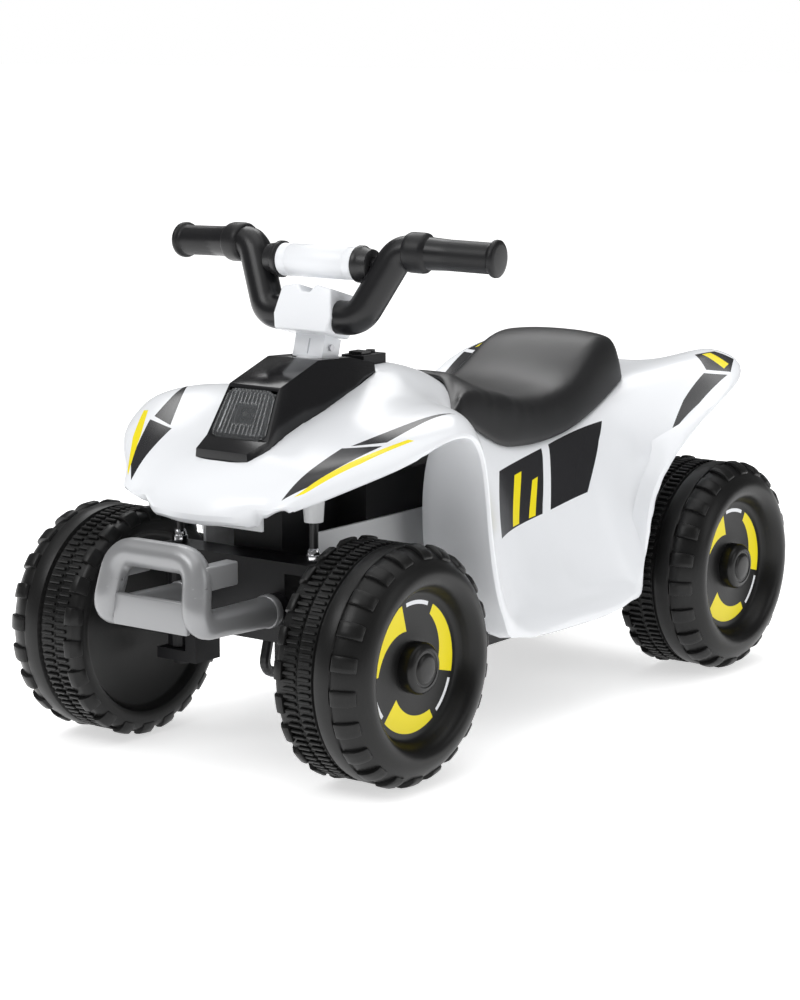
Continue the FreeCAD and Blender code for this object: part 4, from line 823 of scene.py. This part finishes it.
wheel_black = moulded(
    "wheel_black", WHEEL_BLACK,
    roughness=0.36, grain_size=900, grain_depth=0.16, drift=0.12, shine=0.3)
shape = wheel_shape()
smooth(shape, 35)
shape.data.materials.append(wheel_black)
for name, x, y in WHEEL_PLACES:
    wheel = set_down(shape, "tyre_" + name, x, y)
    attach(wheel, name + "_wheel")
    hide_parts("wheel_" + name)
bpy.data.objects.remove(shape)

# Wheel faces.
# The dished disc of each wheel, with plain arcs of yellow and white round the hub.

ARCS = 3
ARC_START = 3.12
ARC_SHARE = 0.62
ARC_INNER = 0.034
ARC_TAPER = 0.024
ARC_OUTER = 0.058
THIN_ARC_INNER = 0.0545
THIN_ARC_SPAN = (0.68, 0.95)
disc_profile = (
    (0.0280, 0.0642), (0.0275, 0.0630), (0.0273, 0.0610), (0.0273, 0.0300), (0.0280, 0.0270),
    (0.0280, 0.0200),
)


def between(tree, value, low, high):
    """One where a value lies between two limits, zero elsewhere."""
    return calculated(tree, "MULTIPLY", calculated(tree, "GREATER_THAN", value, low),
                      calculated(tree, "LESS_THAN", value, high))


def disc_paint(name, centre_y):
    """Black with three yellow wedge arcs and three thin white arcs about the axle."""
    material = moulded(
        name, WHEEL_BLACK, roughness=0.34, grain_size=900, grain_depth=0.08, shine=0.3)
    tree = material.node_tree
    place = tree.nodes.new("ShaderNodeTexCoord")
    spot = tree.nodes.new("ShaderNodeSeparateXYZ")
    tree.links.new(place.outputs["Object"], spot.inputs[0])
    y = calculated(tree, "SUBTRACT", spot.outputs["Y"], centre_y)
    z = calculated(tree, "SUBTRACT", spot.outputs["Z"], WHEEL_RADIUS)
    square = calculated(tree, "MULTIPLY_ADD", y, y, calculated(tree, "MULTIPLY", z, z))
    radius = calculated(tree, "SQRT", square, None)
    turn = calculated(tree, "MULTIPLY", calculated(tree, "ARCTAN2", z, y), ARCS / (2 * math.pi))
    part = calculated(tree, "FRACT", calculated(tree, "ADD", turn, ARC_START), None)
    inner = calculated(tree, "MULTIPLY_ADD", part, ARC_TAPER, ARC_INNER)
    yellow = calculated(tree, "MULTIPLY", between(tree, radius, inner, ARC_OUTER),
                        calculated(tree, "LESS_THAN", part, ARC_SHARE))
    white = calculated(tree, "MULTIPLY", between(tree, radius, THIN_ARC_INNER, ARC_OUTER),
                       between(tree, part, *THIN_ARC_SPAN))
    painted_over(material, WHEEL_BLACK, ((yellow, STRIPE_YELLOW), (white, WHITE)))
    return material


disc_shape = turned("disc_shape", disc_profile, (1, 0, 0), (0, 0, 0), 96)
smooth(disc_shape, 35)
disc_paints = {
    FRONT_AXLE: disc_paint("disc_front", FRONT_AXLE),
    REAR_AXLE: disc_paint("disc_rear", REAR_AXLE),
}
for name, x, y in WHEEL_PLACES:
    disc = set_down(disc_shape, "disc_" + name, x, y)
    disc.data.materials.append(disc_paints[y])
    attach(disc, name + "_wheel")
bpy.data.objects.remove(disc_shape)

# Hub caps.
# Domed black caps snapped over the axle ends, with a shallow ring turned in their faces.

cap_profile = (
    (0.0272, 0.0226), (0.0365, 0.0228), (0.0388, 0.0221), (0.0406, 0.0205), (0.0418, 0.0182),
    (0.0420, 0.0164), (0.0413, 0.0157), (0.0413, 0.0138), (0.0425, 0.0128), (0.0433, 0.0100),
    (0.0437, 0.0050), (0.0438, 0.0),
)
cap_black = moulded(
    "cap_black", (0.008, 0.008, 0.008), roughness=0.3, grain_size=900, grain_depth=0.06, shine=0.35)
cap_shape = turned("cap_shape", cap_profile, (1, 0, 0), (0, 0, 0), 64)
smooth(cap_shape, 40)
cap_shape.data.materials.append(cap_black)
for name, x, y in WHEEL_PLACES:
    cap = set_down(cap_shape, "cap_" + name, x, y)
    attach(cap, name + "_wheel")
    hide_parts("hub_cap_" + name)
bpy.data.objects.remove(cap_shape)

# Bumper.
# A silver-grey moulded tube bent into a loop on two arms, with a cross plate below,
# two short brackets behind and a collar where each arm meets the front beam.

HOOP_CORNERS = ((0.0445, -0.3735, 0.2015), (0.0520, -0.3858, 0.1470), (0.050, -0.284, 0.1435))
HOOP_RADIUS = 0.0126
HOOP_REACH = 0.040
ARM_X = 0.050
ARM_SHARE = 1.12
BRACKET_HALF = 0.0069
bumper_silver = moulded(
    "bumper_silver", (0.29, 0.293, 0.30),
    roughness=0.31, grain_size=800, grain_depth=0.08, drift=0.08, metallic=0.42)
bumper_parts = [bent_tube("hoop", mirrored(HOOP_CORNERS), HOOP_REACH, HOOP_RADIUS, ARM_SHARE)]
bumper_parts.append(rounded_block(
    "cross_plate", (-0.042, -0.3868, 0.1382), (0.042, -0.3802, 0.1668), 0.002))
arm_collar_profile = (
    (0, 0.0), (0, 0.0128), (0.0008, 0.0144), (0.002, 0.0150), (0.0075, 0.0150), (0.0088, 0.0142),
    (0.009, 0.0),
)
for side in (1, -1):
    x = ARM_X * side
    bumper_parts.append(rounded_block(
        "bracket", (x - BRACKET_HALF, -0.3765, 0.1765), (x + BRACKET_HALF, -0.3345, 0.1975), 0.002))
    bumper_parts.append(turned("arm_collar", arm_collar_profile, (0, 1, 0), (x, -0.292, 0.1438)))
bumper = joined("bumper_loop", bumper_parts)
smooth(bumper, 40)
bumper.data.materials.append(bumper_silver)
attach(bumper, "base")
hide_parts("bumper")
socket_profile = ((0, 0.0), (0, 0.0132), (0.0006, 0.0138), (0.0100, 0.0146), (0.0100, 0.0))
socket_pair = []
for side in (1, -1):
    foot = (ARM_X * side, -0.2832, 0.1434)
    socket_pair.append(turned("arm_socket", socket_profile, (0, 1, 0), foot))
sockets = joined("arm_sockets", socket_pair)
smooth(sockets, 40)
sockets.data.materials.append(moulded(
    "socket_black", (0.007, 0.007, 0.008),
    roughness=0.4, grain_size=900, grain_depth=0.2, drift=0.1, shine=0.35))
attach(sockets, "base")

# Kingpin nuts.
# Chrome acorn nuts on the kingpin rods, above the front beam.

NUT_FOOT = 0.1862
NUT_HEIGHT = 0.0068
NUT_RADIUS = 0.0075
KINGPIN_X = 0.0775
dome_profile = ((0.0066, 0.0062), (0.0085, 0.0061), (0.0108, 0.0054), (0.0124, 0.0042))
chrome_bright = moulded(
    "nut_chrome", (0.80, 0.80, 0.82),
    roughness=0.12, grain_size=1200, grain_depth=0.05, drift=0.05, metallic=1.0)
nut_parts = []
for side in (1, -1):
    bpy.ops.object.select_all(action="DESELECT")
    bpy.ops.mesh.primitive_cylinder_add(vertices=6, radius=NUT_RADIUS, depth=NUT_HEIGHT)
    hexagon = bpy.context.object
    edit_all(hexagon)
    bpy.ops.transform.translate(value=(KINGPIN_X * side, FRONT_AXLE, NUT_FOOT + NUT_HEIGHT / 2))
    close_edit()
    finish_with(hexagon, "BEVEL", width=0.0007, segments=3)
    nut_parts.append(hexagon)
    foot = (KINGPIN_X * side, FRONT_AXLE, NUT_FOOT)
    nut_parts.append(turned("nut_dome", dome_profile, (0, 0, 1), foot))
nuts = joined("acorn_nuts", nut_parts)
smooth(nuts, 35)
nuts.data.materials.append(chrome_bright)
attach(nuts, "base")
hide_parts("kingpin_nuts")

# Chassis, axles, steering gear, drive and switches.
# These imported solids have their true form; each gets the finish of its material.

finishes = {
    "white_plastic": moulded(
        "inner_white", (0.74, 0.75, 0.76), roughness=0.35, grain_size=700, grain_depth=0.1),
    "black_gloss": moulded(
        "switch_black", (0.012, 0.012, 0.013), roughness=0.22, grain_size=900, grain_depth=0.06),
    "black_plastic": moulded(
        "chassis_black", (0.007, 0.007, 0.008),
        roughness=0.45, grain_size=900, grain_depth=0.25, drift=0.12, shine=0.3),
    "silver_plastic": bumper_silver,
    "reflector_silver": moulded(
        "dish_silver", (0.22, 0.225, 0.23),
        roughness=0.3, grain_size=600, grain_depth=0.05, drift=0.05, metallic=1.0),
    "board_green": moulded(
        "board_grey", (0.30, 0.31, 0.32), roughness=0.4, grain_size=1500, grain_depth=0.1),
    "lamp_clear": moulded(
        "lamp_pale", (0.88, 0.87, 0.80), roughness=0.15, grain_size=900, grain_depth=0.03),
    "steel": moulded(
        "zinc_steel", (0.50, 0.50, 0.52),
        roughness=0.34, grain_size=1500, grain_depth=0.12, drift=0.1, metallic=1.0),
    "black_steel": moulded(
        "rod_black", (0.016, 0.016, 0.017), roughness=0.35, grain_size=1400, grain_depth=0.1),
    "gear_nylon": moulded(
        "gear_nylon", (0.72, 0.70, 0.64), roughness=0.45, grain_size=900, grain_depth=0.1),
    "battery_case": moulded(
        "battery_grey", (0.09, 0.09, 0.10), roughness=0.5, grain_size=700, grain_depth=0.15),
}
node_slots = {row["node"]: row["material_slot"] for row in frame["record"]["subparts"]}
for node, solid in frame["nodes"].items():
    finish = finishes.get(node_slots[node])
    if finish is not None:
        solid.data.materials.clear()
        solid.data.materials.append(finish)

# Floor, light and camera.
# A pale studio floor, broad soft lights and the photograph's own viewpoint.

CAMERA_PLACE = Vector((1.4978, -2.0458, 0.6485))
CAMERA_TARGET = Vector((0, -0.0262, 0.1999))
CAMERA_LENS = 95.9
CAMERA_SENSOR = 36
FLOOR_GLOW = 0.58
SKY_SEEN = 1.0
SKY_DIFFUSE = 0.5
SKY_GLOSSY = 0.14
SUN_POWER = 0.9
SUN_SPREAD = math.radians(75)
bpy.ops.object.select_all(action="DESELECT")
bpy.ops.mesh.primitive_plane_add(size=60)
floor = bpy.context.object
floor.name = "studio_floor"
floor_white = moulded(
    "floor_white", (0.93, 0.93, 0.93), roughness=0.7, grain_size=200, grain_depth=0.0)
floor_shader = floor_white.node_tree.nodes["Principled BSDF"]
floor_shader.inputs["Emission Color"].default_value = (1, 1, 1, 1)
floor_shader.inputs["Emission Strength"].default_value = FLOOR_GLOW
floor.data.materials.append(floor_white)
world = bpy.data.worlds.new("studio")
bpy.context.scene.world = world
world.use_nodes = True
backdrop = world.node_tree.nodes["Background"]
backdrop.inputs["Color"].default_value = (1, 1, 1, 1)
seen = world.node_tree.nodes.new("ShaderNodeLightPath")
glossed = world.node_tree.nodes.new("ShaderNodeMapRange")
glossed.inputs["To Min"].default_value = SKY_DIFFUSE
glossed.inputs["To Max"].default_value = SKY_GLOSSY
strength = world.node_tree.nodes.new("ShaderNodeMapRange")
strength.inputs["To Max"].default_value = SKY_SEEN
world.node_tree.links.new(seen.outputs["Is Glossy Ray"], glossed.inputs["Value"])
world.node_tree.links.new(glossed.outputs["Result"], strength.inputs["To Min"])
world.node_tree.links.new(seen.outputs["Is Camera Ray"], strength.inputs["Value"])
world.node_tree.links.new(strength.outputs["Result"], backdrop.inputs["Strength"])
bpy.context.scene.view_settings.view_transform = "Standard"


def soft_light(name, place, aim, width, height, power):
    """One rectangular soft box turned towards a point."""
    lamp = bpy.data.lights.new(name, "AREA")
    lamp.shape = "RECTANGLE"
    lamp.size = width
    lamp.size_y = height
    lamp.energy = power
    holder = bpy.data.objects.new(name, lamp)
    bpy.context.scene.collection.objects.link(holder)
    holder.location = place
    holder.rotation_euler = (Vector(aim) - Vector(place)).to_track_quat("-Z", "Y").to_euler()


soft_light("key_box", (-0.5, -1.9, 2.0), (0, 0, 0.2), width=1.4, height=1.0, power=15)
soft_light("top_box", (0.2, 0.4, 2.6), (0, 0, 0.2), width=2.2, height=2.2, power=10)
soft_light("side_box", (2.4, 0.5, 1.2), (0, 0, 0.2), width=1.0, height=1.4, power=6)
soft_light("back_box", (-1.0, 1.1, 1.9), (0, 0, 0.3), width=1.3, height=1.0, power=13)
sky_data = bpy.data.lights.new("even_sky", "SUN")
sky_data.energy = SUN_POWER
sky_data.angle = SUN_SPREAD
sky = bpy.data.objects.new("even_sky", sky_data)
bpy.context.scene.collection.objects.link(sky)
sky.rotation_euler = (math.radians(14), math.radians(-8), 0)
camera_data = bpy.data.cameras.new("photo_camera")
camera_data.lens = CAMERA_LENS
camera_data.sensor_width = CAMERA_SENSOR
camera = bpy.data.objects.new("photo_camera", camera_data)
bpy.context.scene.collection.objects.link(camera)
camera.location = CAMERA_PLACE
camera.rotation_euler = (CAMERA_TARGET - CAMERA_PLACE).to_track_quat("-Z", "Y").to_euler()
bpy.context.scene.camera = camera
